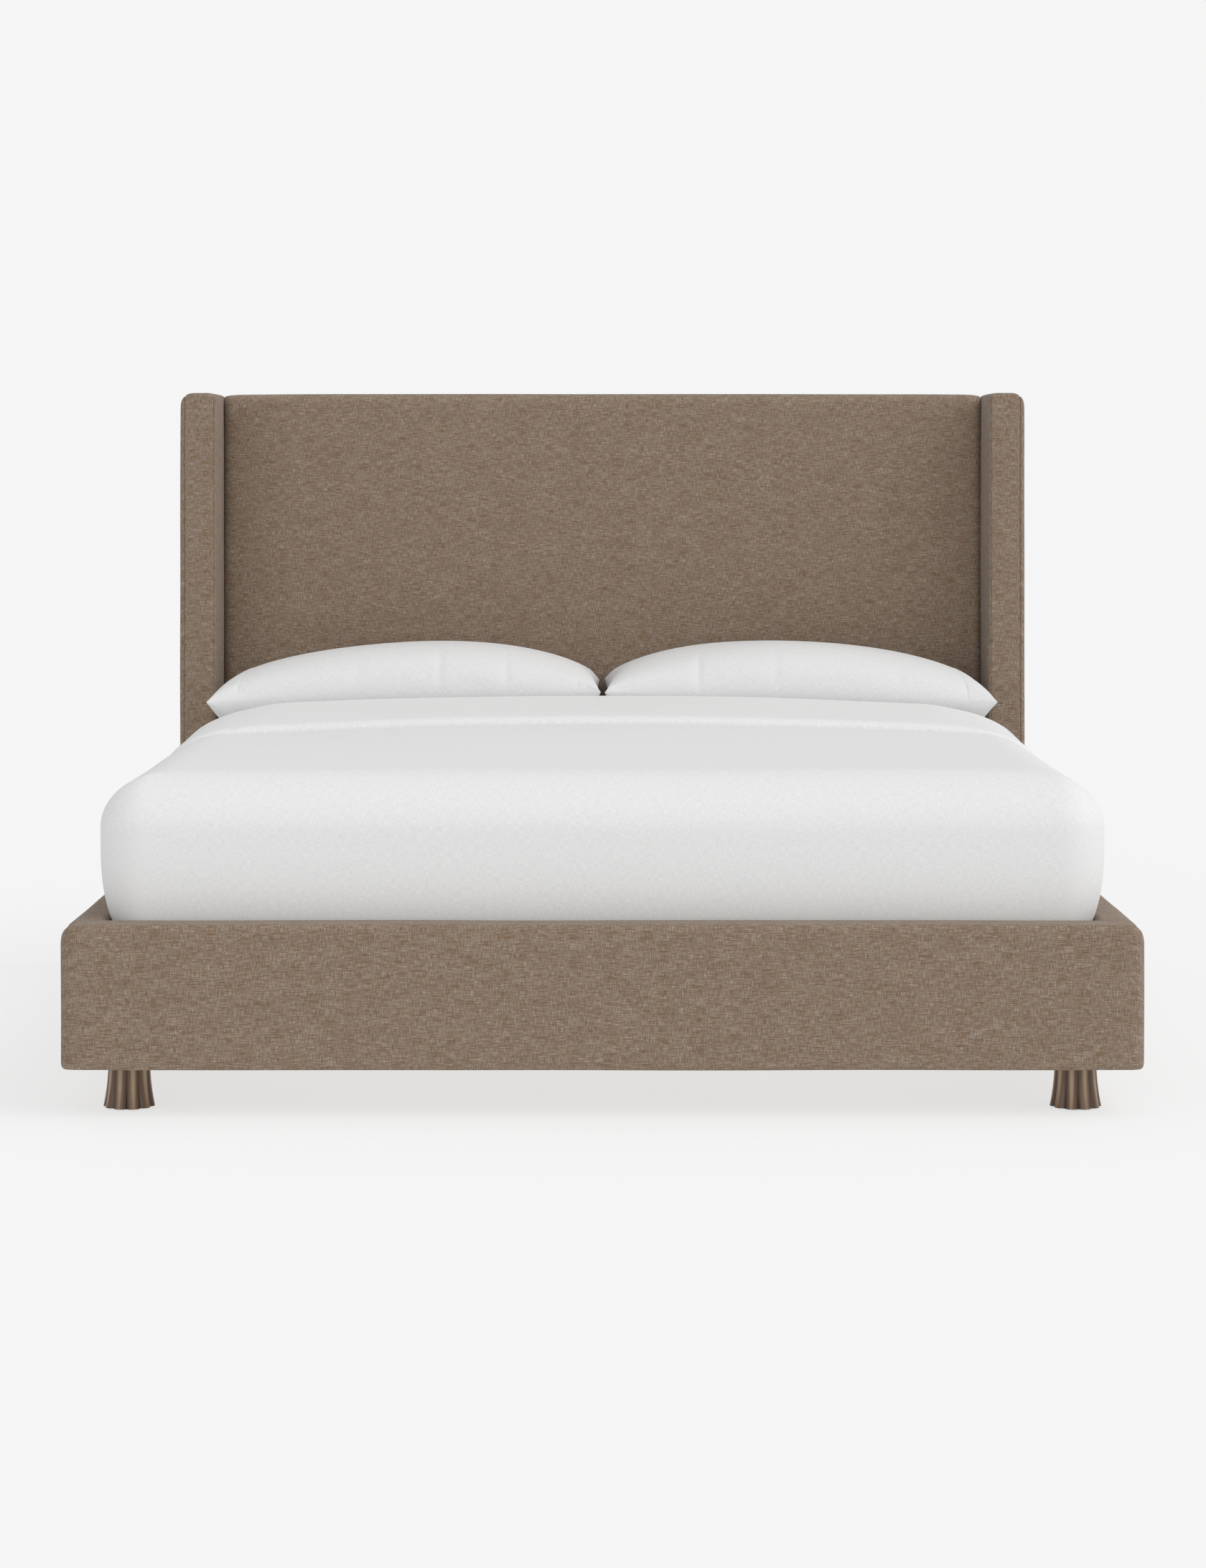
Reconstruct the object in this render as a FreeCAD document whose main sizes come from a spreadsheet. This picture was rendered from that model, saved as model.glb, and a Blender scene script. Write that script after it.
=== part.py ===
import FreeCAD, Part
import os
import re
import Sketcher

# A king-size upholstered bed: a winged headboard, a low upholstered surround on short
# fluted legs, a slatted deck, and the mattress and bedding that lie on it.
# +X is to the right seen from the foot, +Y runs from foot to head and +Z is up. The
# origin is on the floor, in the middle of the bed's own box.

# Driving sizes in millimetres. Each one is a cell of the spreadsheet.
SIZES = {
    "mattress_width": 1930,
    "mattress_length": 2032,
    "mattress_height": 325,
    "mattress_corner": 60,
    "mattress_edge": 20,
    "side_gap": 13,
    "foot_gap": 20,
    "head_gap": 5,
    "deck_height": 300,
    "frame_top": 375,
    "cover_thickness": 2,
    "top_padding": 20,
    "board_thickness": 46,
    "rail_thickness": 80,
    "rail_edge": 14,
    "bottom_edge": 8,
    "footboard_thickness": 80,
    "footboard_corner": 30,
    "end_padding": 10,
    "headboard_height": 1457,
    "headboard_thickness": 100,
    "headboard_edge": 25,
    "headboard_padding": 34,
    "face_board_thickness": 12,
    "post_width": 90,
    "top_rail_height": 90,
    "middle_rail_height": 70,
    "bottom_rail_height": 200,
    "wing_thickness": 88,
    "wing_gap": 5,
    "wing_depth": 280,
    "wing_padding": 20,
    "wing_front_padding": 30,
    "wing_outer_corner": 30,
    "wing_inner_corner": 20,
    "wing_front_edge": 8,
    "slat_thickness": 20,
    "slat_width": 76,
    "slat_end_gap": 12,
    "slat_side_gap": 4,
    "ledger_bearing": 30,
    "ledger_height": 40,
    "block_size": 90,
    "rear_block_lap": 150,
    "leg_height": 92,
    "leg_top_radius": 41.5,
    "leg_bottom_radius": 51,
    "leg_lobe_radius": 15,
    "glide_radius": 20,
    "glide_thickness": 3,
    "beam_width": 38,
    "beam_height": 89,
    "beam_end_gap": 3,
    "hanger_thickness": 3,
    "hanger_depth": 45,
    "hanger_flange": 25,
    "hanger_cheek_height": 70,
    "center_leg_setback": 100,
    "center_leg_bottom": 30,
    "leveller_foot_radius": 16,
    "leveller_foot_height": 6,
    "leveller_nut_width": 15,
    "leveller_nut_height": 6,
    "leveller_rod_radius": 4,
    "leveller_rod_top": 70,
    "leveller_bore_depth": 60,
    "leveller_clearance": 0.1,
    "bolt_radius": 4,
    "bolt_length": 134,
    "bolt_head_width": 15,
    "bolt_head_height": 5.5,
    "bolt_edge_distance": 20,
    "bolt_end_distance": 28,
    "bolt_stagger": 30,
    "bolt_clearance": 0.25,
    "hanger_bolt_radius": 5,
    "hanger_bolt_length": 90,
    "screw_radius": 2.25,
    "screw_length": 50,
    "screw_head_radius": 4.5,
    "screw_head_height": 3.5,
    "screw_sink": 4,
    "screw_clearance": 0.25,
    "hanger_screw_rise": 15,
    "hanger_screw_drop": 5,
    "cut_overrun": 2,
    "pillow_depth": 510,
    "pillow_head_gap": 10,
    "pillow_side_gap": 8,
    "pillow_middle_gap": 4,
    "pillow_height": 209,
    "pillow_corner": 60,
    "pillow_top_edge": 90,
    "pillow_bottom_edge": 60,
    "coverlet_overhang": 35,
    "coverlet_thickness": 59,
    "coverlet_corner": 100,
    "coverlet_edge": 98,
    "coverlet_clearance": 4,
    "coverlet_rise": 25,
    "skirt_depth": 45,
    "skirt_corner": 78,
    "skirt_lap": 2,
    "pocket_clearance": 1,
    "pillow_clearance": 5,
    "fold_width": 465,
    "fold_thickness": 31,
    "fold_overhang": 6,
}

SLAT_COUNT = 12
LEDGER_SCREW_COUNT = 6
LEG_LOBE_COUNT = 10

# Places that follow from the driving sizes. A formula may use any name above or here.
PLACES = {
    "total_length": "footboard_thickness + foot_gap + mattress_length + head_gap"
                    " + headboard_thickness",
    "front": "-total_length / 2",
    "back": "total_length / 2",
    "well_front": "front + footboard_thickness",
    "panel_front": "back - headboard_thickness",
    "wing_front": "back - wing_depth",
    "well_half": "mattress_width / 2 + side_gap",
    "half_width": "well_half + rail_thickness",
    "panel_half": "mattress_width / 2 + wing_gap",
    "wing_outside": "panel_half + wing_thickness",
    "inside_bottom": "leg_height + cover_thickness",
    "surround_board_top": "frame_top - cover_thickness - top_padding",
    "timber_half": "panel_half - cover_thickness",
    "face_front": "panel_front + cover_thickness + headboard_padding",
    "timber_front": "face_front + face_board_thickness",
    "timber_back": "back - cover_thickness",
    "timber_top": "headboard_height - cover_thickness - top_padding",
    "bay_bottom": "inside_bottom + bottom_rail_height",
    "bay_top": "timber_top - top_rail_height",
    "post_inside": "timber_half - post_width",
    "slat_bottom": "deck_height - slat_thickness",
    "slat_half": "panel_half - slat_side_gap",
    "slat_pitch": f"(panel_front - well_front - slat_width - 2 * slat_end_gap) / {SLAT_COUNT - 1}",
    "ledger_bottom": "slat_bottom - ledger_height",
    "ledger_inside": "panel_half - ledger_bearing",
    "screw_line": "panel_half - ledger_bearing / 2",
    "block_inside": "well_half - block_size",
    "leg_x": "well_half - leg_top_radius",
    "stud_bottom": "leg_height - hanger_bolt_length / 2",
    "front_leg_y": "well_front + leg_top_radius",
    "rear_leg_y": "panel_front - leg_top_radius",
    "leg_length": "leg_height - glide_thickness",
    "leg_flare": "leg_bottom_radius - leg_top_radius",
    "flare_radius": "(leg_length ^ 2 + leg_flare ^ 2) / (2 * leg_flare)",
    "beam_bottom": "slat_bottom - beam_height",
    "beam_front": "well_front + hanger_thickness",
    "beam_back": "panel_front - beam_end_gap",
    "hanger_half": "beam_width / 2 + hanger_thickness",
    "rear_center_leg_y": "panel_front - center_leg_setback",
    "front_center_leg_y": "(well_front + rear_center_leg_y) / 2",
    "mattress_front": "well_front + foot_gap",
    "mattress_back": "mattress_front + mattress_length",
    "mattress_top": "deck_height + mattress_height",
    "pillow_back": "panel_front - pillow_head_gap",
    "pillow_front": "pillow_back - pillow_depth",
    "coverlet_back": "pillow_front - pillow_clearance",
    "coverlet_front": "well_front + coverlet_clearance",
    "coverlet_half": "mattress_width / 2 + coverlet_overhang",
    "coverlet_bottom": "frame_top + coverlet_rise",
    "coverlet_top": "mattress_top + coverlet_thickness",
    "skirt_half": "well_half - coverlet_clearance",
}

doc = FreeCAD.newDocument("UpholsteredBed")
sheet = doc.addObject("Spreadsheet::Sheet", "Sizes")
for row, (alias, value) in enumerate(SIZES.items(), 1):
    sheet.set(f"A{row}", alias)
    sheet.set(f"B{row}", str(value))
    sheet.setAlias(f"B{row}", alias)
doc.recompute()

pieces = []


def formula(text):
    """Write a formula out: a place in full, and a size as its spreadsheet cell."""
    def spelled(match):
        word = match.group()
        if word in PLACES:
            return f"({formula(PLACES[word])})"
        if word in SIZES:
            return f"Sizes.{word}"
        return word
    return re.sub(r"[a-z_]+", spelled, text)


def piece(name, solid):
    """Give a finished sub-part the label that names its file."""
    solid.Label = name
    pieces.append(solid)


def place(solid, x, y, z):
    """Bind the three coordinates of an object's placement."""
    for axis, text in zip("xyz", (x, y, z)):
        solid.setExpression(f"Placement.Base.{axis}", formula(text))


def low_and_size(spans):
    """Turn three (low, high) spans into three low ends and three sizes."""
    lows = [low for low, _ in spans]
    sizes = [f"({high}) - ({low})" for low, high in spans]
    return lows, sizes


def box(name, x, y, z):
    """A plain box over three (low, high) spans."""
    solid = doc.addObject("Part::Box", name)
    lows, sizes = low_and_size((x, y, z))
    for side, text in zip(("Length", "Width", "Height"), sizes):
        solid.setExpression(side, formula(text))
    place(solid, *lows)
    return solid


def cylinder(name, radius, height, x, y, z, direction=(0, 0, 1)):
    """A cylinder that starts at a point and runs along a direction."""
    solid = doc.addObject("Part::Cylinder", name)
    solid.setExpression("Radius", formula(radius))
    solid.setExpression("Height", formula(height))
    turn = FreeCAD.Rotation(FreeCAD.Vector(0, 0, 1), FreeCAD.Vector(*direction))
    solid.Placement = FreeCAD.Placement(FreeCAD.Vector(0, 0, 0), turn)
    place(solid, x, y, z)
    return solid


def hexagon(name, width, height, x, y, z, direction=(0, 0, 1)):
    """A hexagonal prism, width across its corners, that runs along a direction."""
    solid = doc.addObject("Part::Prism", name)
    solid.Polygon = 6
    solid.setExpression("Circumradius", formula(f"({width}) / 2"))
    solid.setExpression("Height", formula(height))
    turn = FreeCAD.Rotation(FreeCAD.Vector(0, 0, 1), FreeCAD.Vector(*direction))
    solid.Placement = FreeCAD.Placement(FreeCAD.Vector(0, 0, 0), turn)
    place(solid, x, y, z)
    return solid


def cut(name, base, *tools):
    """Take one or more tools away from a base."""
    result = doc.addObject("Part::Cut", name)
    result.Base = base
    result.Tool = tools[0] if len(tools) == 1 else group(name + "_tools", tools)
    return result


def fuse(name, *solids):
    """Join solids that touch or overlap into one."""
    result = doc.addObject("Part::MultiFuse", name)
    result.Shapes = list(solids)
    result.Refine = True
    return result


def group(name, solids):
    """Hold separate solids together as one object."""
    result = doc.addObject("Part::Compound", name)
    result.Links = list(solids)
    return result


def shared_edges(shape, first, second):
    """Name the straight edges where two sides of a shape's box meet."""
    whole = shape.optimalBoundingBox(False, False)
    sides = {
        "left": ("XMax", whole.XMin), "right": ("XMin", whole.XMax),
        "front": ("YMax", whole.YMin), "rear": ("YMin", whole.YMax),
        "bottom": ("ZMax", whole.ZMin), "top": ("ZMin", whole.ZMax),
    }
    names = []
    for number, edge in enumerate(shape.Edges, 1):
        on_both = all(
            abs(getattr(edge.BoundBox, end) - limit) < 0.01
            for end, limit in (sides[first], sides[second])
        )
        if on_both and edge.Curve.TypeId == "Part::GeomLine":
            names.append(f"Edge{number}")
    return names


def rounded_block(name, x, y, z, roundings):
    """A block whose edges are rounded in turn.

    Each rounding is (sides, sides, ..., radius), where sides are the two faces that
    meet at an edge, such as "top front". An edge carries its rounding round the arcs
    that follow it, so one name rounds a whole rim.
    """
    body = doc.addObject("PartDesign::Body", name)
    block = body.newObject("PartDesign::AdditiveBox", name + "_block")
    lows, sizes = low_and_size((x, y, z))
    for side, text in zip(("Length", "Width", "Height"), sizes):
        block.setExpression(side, formula(text))
    doc.recompute()
    base = block
    for number, (*edges, radius) in enumerate(roundings, 1):
        names = []
        for sides in edges:
            names += shared_edges(base.Shape, *sides.split())
        fillet = body.newObject("PartDesign::Fillet", f"{name}_rounding_{number}")
        fillet.Base = (base, names)
        fillet.setExpression("Radius", formula(radius))
        doc.recompute()
        base = fillet
    place(body, *lows)
    return body


def mirrored(side, near, far):
    """The X span from near to far of the middle plane, on the left or the right."""
    return (near, far) if side == "right" else (f"-({far})", f"-({near})")


def inner_side(side):
    """The name of the side that faces the middle plane."""
    return "left" if side == "right" else "right"


def sign(side):
    """The text that turns a distance from the middle plane into an X coordinate."""
    return "" if side == "right" else "-1 * "


SIDE_DIRECTION = {"left": (-1, 0, 0), "right": (1, 0, 0)}
FORWARD = (0, -1, 0)
DOWN = (0, 0, -1)

# Fasteners. Every bolt is the same M8 hexagon bolt and every screw the same wood
# screw. A fastener is set out by the point under its head and the way it points.
bolts = []
screws = []


def opposite(direction):
    """A direction turned round."""
    return tuple(-part for part in direction)


def bolt(name, x, y, z, direction):
    """Add a bolt and return the hole that it goes through."""
    shank = cylinder(name + "_shank", "bolt_radius", "bolt_length", x, y, z, direction)
    head = hexagon(name + "_head", "bolt_head_width", "bolt_head_height", x, y, z,
                   opposite(direction))
    bolts.append(fuse(name, shank, head))
    return cylinder(name + "_hole", "bolt_radius + bolt_clearance",
                    "bolt_length + cut_overrun", x, y, z, direction)


def screw(name, x, y, z, direction):
    """Add a wood screw and return the hole for its shank."""
    shank = cylinder(name + "_shank", "screw_radius", "screw_length", x, y, z, direction)
    head = cylinder(name + "_head", "screw_head_radius", "screw_head_height", x, y, z,
                    opposite(direction))
    screws.append(fuse(name, shank, head))
    return cylinder(name + "_hole", "screw_radius + screw_clearance",
                    "screw_length + cut_overrun", x, y, z, direction)


def sink(name, x, y, z, direction):
    """The counterbore that takes a screw's head below a surface."""
    return cylinder(name + "_sink", "screw_head_radius + screw_clearance",
                    "screw_sink + cut_overrun", x, y, z, opposite(direction))


# Bolt holes, sorted by what they go through.
rail_holes = {"left": [], "right": []}
wing_holes = {"left": [], "right": []}
post_holes = {"left": [], "right": []}
footboard_holes = []
front_block_holes = {"left": [], "right": []}
rear_block_holes = {"left": [], "right": []}
ledger_holes = {"left": [], "right": []}
stud_holes = {}
beam_holes = []
hanger_holes = []

for side in ("left", "right"):
    outward = SIDE_DIRECTION[side]
    near = sign(side)

    # Two bolts hold the front corner block to the side rail and two to the footboard.
    # The pairs stand at different heights, so that they pass each other.
    for number, height in enumerate(("leg_height + bolt_end_distance",
                                     "ledger_bottom - bolt_end_distance"), 1):
        hole = bolt(f"{side}_front_rail_bolt_{number}", f"{near}(block_inside)",
                    "well_front + block_size - bolt_edge_distance", height, outward)
        rail_holes[side].append(hole)
        front_block_holes[side].append(hole)
    for number, height in enumerate(("leg_height + bolt_end_distance + bolt_stagger",
                                     "ledger_bottom - bolt_end_distance - bolt_stagger"), 1):
        hole = bolt(f"{side}_footboard_bolt_{number}",
                    f"{near}(block_inside + bolt_edge_distance)",
                    "well_front + block_size", height, FORWARD)
        footboard_holes.append(hole)
        front_block_holes[side].append(hole)

    # The rear block laps the joint of rail and wing, with two bolts into each.
    for number, lap in enumerate(("rear_block_lap - bolt_edge_distance",
                                  "bolt_edge_distance * 2"), 1):
        hole = bolt(f"{side}_rear_rail_bolt_{number}", f"{near}(block_inside)",
                    f"wing_front - ({lap})", "ledger_bottom - block_size / 2", outward)
        rail_holes[side].append(hole)
        rear_block_holes[side].append(hole)
    for number, lap in enumerate(("wing_front_padding + bolt_edge_distance",
                                  "wing_depth - headboard_thickness - bolt_edge_distance"), 1):
        hole = bolt(f"{side}_rear_wing_bolt_{number}", f"{near}(block_inside)",
                    f"wing_front + {lap}", "ledger_bottom - block_size / 2", outward)
        wing_holes[side].append(hole)
        rear_block_holes[side].append(hole)

    # Two more bolts hold the wing to the headboard's post, one quarter and three
    # quarters of the way up its bay.
    for number, quarters in enumerate((1, 3), 1):
        hole = bolt(f"{side}_post_bolt_{number}", f"{near}(post_inside)",
                    "(timber_front + timber_back) / 2",
                    f"bay_bottom + (bay_top - bay_bottom) * {quarters} / 4", outward)
        wing_holes[side].append(hole)
        post_holes[side].append(hole)

# Headboard: a timber frame of two posts and three rails behind a face board, padded in
# front and on top, with one fabric over the padding and one over the back.
headboard_span = ("-panel_half", "panel_half")
timber_span = ("-timber_half", "timber_half")
timber_height = ("inside_bottom", "timber_top")

headboard_outside = rounded_block(
    "headboard_outside", headboard_span, ("panel_front", "timber_back"),
    ("leg_height", "headboard_height"), [("top front", "headboard_edge")])
headboard_inside = rounded_block(
    "headboard_inside", timber_span, ("panel_front + cover_thickness", "timber_back"),
    ("inside_bottom", "headboard_height - cover_thickness"),
    [("top front", "headboard_edge - cover_thickness")])
headboard_core = box("headboard_core", timber_span, ("face_front", "timber_back"), timber_height)

piece("headboard_cover", cut("HeadboardCover", headboard_outside, headboard_inside,
                             *post_holes["left"], *post_holes["right"]))
piece("headboard_foam", cut("HeadboardFoam", headboard_inside, headboard_core))
piece("headboard_back_cover", box("HeadboardBackCover", headboard_span, ("timber_back", "back"),
                                  ("leg_height", "headboard_height")))
piece("headboard_face_board", box("HeadboardFaceBoard", timber_span,
                                  ("face_front", "timber_front"), timber_height))
for side in ("left", "right"):
    post = box(f"{side}_post_timber", mirrored(side, "post_inside", "timber_half"),
               ("timber_front", "timber_back"), timber_height)
    piece(f"headboard_{side}_post", cut(f"{side}_post", post, *post_holes[side]))

for name, low, high in (
        ("headboard_top_rail", "bay_top", "timber_top"),
        ("headboard_middle_rail", "(bay_bottom + bay_top - middle_rail_height) / 2",
         "(bay_bottom + bay_top + middle_rail_height) / 2"),
        ("headboard_bottom_rail", "inside_bottom", "bay_bottom")):
    piece(name, box(name + "_timber", ("-post_inside", "post_inside"),
                    ("timber_front", "timber_back"), (low, high)))

# Wings: an upright core board on each side of the headboard, padded all round, that
# stands forward of the panel. Its fabric is closed, so the bolts pass through it.
for side in ("left", "right"):
    outside = rounded_block(
        f"{side}_wing_outside", mirrored(side, "panel_half", "wing_outside"),
        ("wing_front", "back"), ("leg_height", "headboard_height"),
        [(f"top {side}", "wing_outer_corner"),
         (f"top {inner_side(side)}", "wing_inner_corner"),
         ("top front", "wing_front_edge")])
    inside = rounded_block(
        f"{side}_wing_inside",
        mirrored(side, "panel_half + cover_thickness", "wing_outside - cover_thickness"),
        ("wing_front + cover_thickness", "timber_back"),
        ("inside_bottom", "headboard_height - cover_thickness"),
        [(f"top {side}", "wing_outer_corner - cover_thickness"),
         (f"top {inner_side(side)}", "wing_inner_corner - cover_thickness"),
         ("top front", "wing_front_edge - cover_thickness")])
    core = box(
        f"{side}_wing_board",
        mirrored(side, "panel_half + cover_thickness + wing_padding",
                 "wing_outside - cover_thickness - wing_padding"),
        ("wing_front + cover_thickness + wing_front_padding", "timber_back"), timber_height)
    piece(f"{side}_wing_cover", cut(f"{side}_wing_skin", outside, inside, *wing_holes[side]))
    piece(f"{side}_wing_foam", cut(f"{side}_wing_pad", inside, core, *wing_holes[side]))
    piece(f"{side}_wing_core", cut(f"{side}_wing_timber", core, *wing_holes[side]))

# Side rails and footboard: a board with padding outside it and on top, in a fabric
# sleeve. The sleeve lies on the board itself on the side that faces the mattress.
surround_height = ("leg_height", "frame_top")
surround_inside_height = ("inside_bottom", "frame_top - cover_thickness")
surround_board_height = ("inside_bottom", "surround_board_top")
rail_run = ("well_front", "wing_front")

for side in ("left", "right"):
    outside = rounded_block(
        f"{side}_rail_outside", mirrored(side, "well_half", "half_width"), rail_run,
        surround_height,
        [("top left", "top right", "rail_edge"), (f"bottom {side}", "bottom_edge")])
    inside = rounded_block(
        f"{side}_rail_inside",
        mirrored(side, "well_half + cover_thickness", "half_width - cover_thickness"),
        rail_run, surround_inside_height,
        [("top left", "top right", "rail_edge - cover_thickness"),
         (f"bottom {side}", "bottom_edge - cover_thickness")])
    board = box(
        f"{side}_rail_timber",
        mirrored(side, "well_half + cover_thickness",
                 "well_half + cover_thickness + board_thickness"),
        rail_run, surround_board_height)

    # The ledger is screwed to the rail and carries the slat ends. It and the rear block
    # are notched where they pass the wing, which stands further in than the rail.
    notch = box(f"{side}_notch", mirrored(side, "panel_half", "wing_outside"),
                ("wing_front", "back"), ("leg_height", "slat_bottom"))
    ledger = box(f"{side}_ledger_strip", mirrored(side, "ledger_inside", "well_half"),
                 ("well_front", "panel_front"), ("ledger_bottom", "slat_bottom"))
    ledger_sinks = []
    for number in range(LEDGER_SCREW_COUNT):
        screw_point = (f"{sign(side)}(ledger_inside + screw_sink)",
                       f"well_front + block_size + (wing_front - well_front - 2 * block_size)"
                       f" * {number} / {LEDGER_SCREW_COUNT - 1}",
                       "(ledger_bottom + slat_bottom) / 2")
        hole = screw(f"{side}_ledger_screw_{number + 1}", *screw_point, SIDE_DIRECTION[side])
        ledger_sinks.append(sink(f"{side}_ledger_screw_{number + 1}", *screw_point,
                                 SIDE_DIRECTION[side]))
        ledger_holes[side].append(hole)
        rail_holes[side].append(hole)

    piece(f"{side}_rail_cover", cut(f"{side}_rail_sleeve", outside, inside, *rail_holes[side]))
    piece(f"{side}_rail_foam", cut(f"{side}_rail_pad", inside, board))
    piece(f"{side}_rail_board", cut(f"{side}_rail_bored_board", board, *rail_holes[side]))

    # Corner blocks: solid timber in the four inside corners. The front one ties rail to
    # footboard, the rear one ties rail to wing, and each takes a leg from below.
    front_block = box(f"{side}_front_timber", mirrored(side, "block_inside", "well_half"),
                      ("well_front", "well_front + block_size"),
                      ("leg_height", "ledger_bottom"))
    rear_block = box(f"{side}_rear_timber", mirrored(side, "block_inside", "well_half"),
                     ("wing_front - rear_block_lap", "panel_front"),
                     ("leg_height", "ledger_bottom"))
    for end, block, leg_y, holes, notches in (
            ("front", front_block, "front_leg_y", front_block_holes[side], []),
            ("rear", rear_block, "rear_leg_y", rear_block_holes[side], [notch])):
        stud_holes[end, side] = cylinder(
            f"{side}_{end}_stud_hole", "hanger_bolt_radius + bolt_clearance",
            "hanger_bolt_length + cut_overrun", f"{sign(side)}(leg_x)", leg_y,
            "stud_bottom - cut_overrun / 2")
        piece(f"{end}_{side}_corner_block",
              cut(f"{side}_{end}_bored_block", block, stud_holes[end, side], *holes, *notches))

    slat_screw_holes = []
    for number in range(SLAT_COUNT):
        hole = screw(f"{side}_slat_screw_{number + 1}", f"{sign(side)}(screw_line)",
                     f"well_front + slat_end_gap + slat_width / 2 + slat_pitch * {number}",
                     "deck_height - screw_sink", DOWN)
        slat_screw_holes.append(hole)
        ledger_holes[side].append(hole)
    piece(f"{side}_ledger", cut(f"{side}_notched_ledger", ledger, notch, *ledger_sinks,
                                *ledger_holes[side]))

footboard_span = ("-half_width", "half_width")
footboard_outside = rounded_block(
    "footboard_outside", footboard_span, ("front", "well_front"), surround_height,
    [("front left", "front right", "footboard_corner"), ("top front", "rail_edge"),
     ("bottom front", "bottom_edge")])
footboard_inside = rounded_block(
    "footboard_inside", ("-(half_width - cover_thickness)", "half_width - cover_thickness"),
    ("front + cover_thickness", "well_front - cover_thickness"), surround_inside_height,
    [("front left", "front right", "footboard_corner - cover_thickness"),
     ("top front", "rail_edge - cover_thickness"),
     ("bottom front", "bottom_edge - cover_thickness")])
footboard_board = box(
    "footboard_timber",
    ("-(half_width - cover_thickness - end_padding)",
     "half_width - cover_thickness - end_padding"),
    ("well_front - cover_thickness - board_thickness", "well_front - cover_thickness"),
    surround_board_height)

# Centre beam: a joist under the slats, hung on a steel saddle at the footboard and
# standing on two legs with screw feet.
for column in (-1, 1):
    for number, height in enumerate(("beam_bottom + hanger_screw_rise",
                                     "beam_bottom + hanger_cheek_height - hanger_screw_drop"), 1):
        hanger_holes.append(screw(
            f"hanger_screw_{'left' if column < 0 else 'right'}_{number}",
            f"{column} * (beam_width + hanger_thickness + hanger_flange) / 2",
            "beam_front", height, FORWARD))

piece("footboard_cover", cut("footboard_skin", footboard_outside, footboard_inside,
                             *footboard_holes, *hanger_holes))
piece("footboard_foam", cut("footboard_pad", footboard_inside, footboard_board))
piece("footboard_board", cut("footboard_bored_board", footboard_board,
                             *footboard_holes, *hanger_holes))

hanger_run = ("beam_front", "well_front + hanger_depth")
hanger = fuse(
    "hanger_metal",
    box("hanger_plate", ("-(hanger_half + hanger_flange)", "hanger_half + hanger_flange"),
        ("well_front", "beam_front"),
        ("beam_bottom - hanger_thickness", "beam_bottom + hanger_cheek_height")),
    box("hanger_seat", ("-hanger_half", "hanger_half"), hanger_run,
        ("beam_bottom - hanger_thickness", "beam_bottom")),
    box("hanger_left_cheek", ("-hanger_half", "-beam_width / 2"), hanger_run,
        ("beam_bottom - hanger_thickness", "beam_bottom + hanger_cheek_height")),
    box("hanger_right_cheek", ("beam_width / 2", "hanger_half"), hanger_run,
        ("beam_bottom - hanger_thickness", "beam_bottom + hanger_cheek_height")))
piece("beam_hanger", cut("drilled_hanger", hanger, *hanger_holes))

for number in range(SLAT_COUNT):
    middle = f"well_front + slat_end_gap + slat_width / 2 + slat_pitch * {number}"
    slat = box(f"slat_strip_{number + 1}", ("-slat_half", "slat_half"),
               (f"{middle} - slat_width / 2", f"{middle} + slat_width / 2"),
               ("slat_bottom", "deck_height"))
    cuts = []
    for name, x in (("left", "-1 * (screw_line)"), ("beam", "0"), ("right", "screw_line")):
        screw_point = (x, middle, "deck_height - screw_sink")
        cuts.append(sink(f"slat_{number + 1}_{name}", *screw_point, DOWN))
        if name == "beam":
            beam_hole = screw(f"beam_screw_{number + 1}", *screw_point, DOWN)
            beam_holes.append(beam_hole)
            cuts.append(beam_hole)
        else:
            cuts.append(doc.getObject(f"{name}_slat_screw_{number + 1}_hole"))
    piece(f"slat_{number + 1:02d}", cut(f"drilled_slat_{number + 1}", slat, *cuts))

beam = box("beam_joist", ("-beam_width / 2", "beam_width / 2"), ("beam_front", "beam_back"),
           ("beam_bottom", "slat_bottom"))
piece("center_beam", cut("drilled_joist", beam, *beam_holes))

for number, leg_y in enumerate(("front_center_leg_y", "rear_center_leg_y"), 1):
    stem = box(f"center_leg_{number}_timber", ("-beam_width / 2", "beam_width / 2"),
               (f"{leg_y} - beam_width / 2", f"{leg_y} + beam_width / 2"),
               ("center_leg_bottom", "beam_bottom"))
    bore = cylinder(f"leveller_{number}_bore", "leveller_rod_radius + leveller_clearance",
                    "leveller_bore_depth", "0", leg_y, "center_leg_bottom")
    piece(f"center_leg_{number}", cut(f"bored_center_leg_{number}", stem, bore))
    piece(f"leveller_{number}", fuse(
        f"leveller_{number}_metal",
        cylinder(f"leveller_{number}_foot", "leveller_foot_radius", "leveller_foot_height",
                 "0", leg_y, "0"),
        hexagon(f"leveller_{number}_nut", "leveller_nut_width",
                "leveller_foot_height + leveller_nut_height", "0", leg_y, "0"),
        cylinder(f"leveller_{number}_rod", "leveller_rod_radius", "leveller_rod_top",
                 "0", leg_y, "0")))


def origin_plane(body, role):
    """One of a body's own origin planes."""
    return next(item for item in body.Origin.OriginFeatures if item.Role == role)


def sketch_on(body, name, role):
    """A sketch on one of a body's own origin planes."""
    sketch = body.newObject("Sketcher::SketchObject", name)
    sketch.AttachmentSupport = [(origin_plane(body, role), "")]
    sketch.MapMode = "FlatFace"
    return sketch


def bound(sketch, size, *constraint):
    """Add a constraint whose value is a formula."""
    number = sketch.addConstraint(Sketcher.Constraint(*constraint))
    sketch.setExpression(f"Constraints[{number}]", formula(size))


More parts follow.
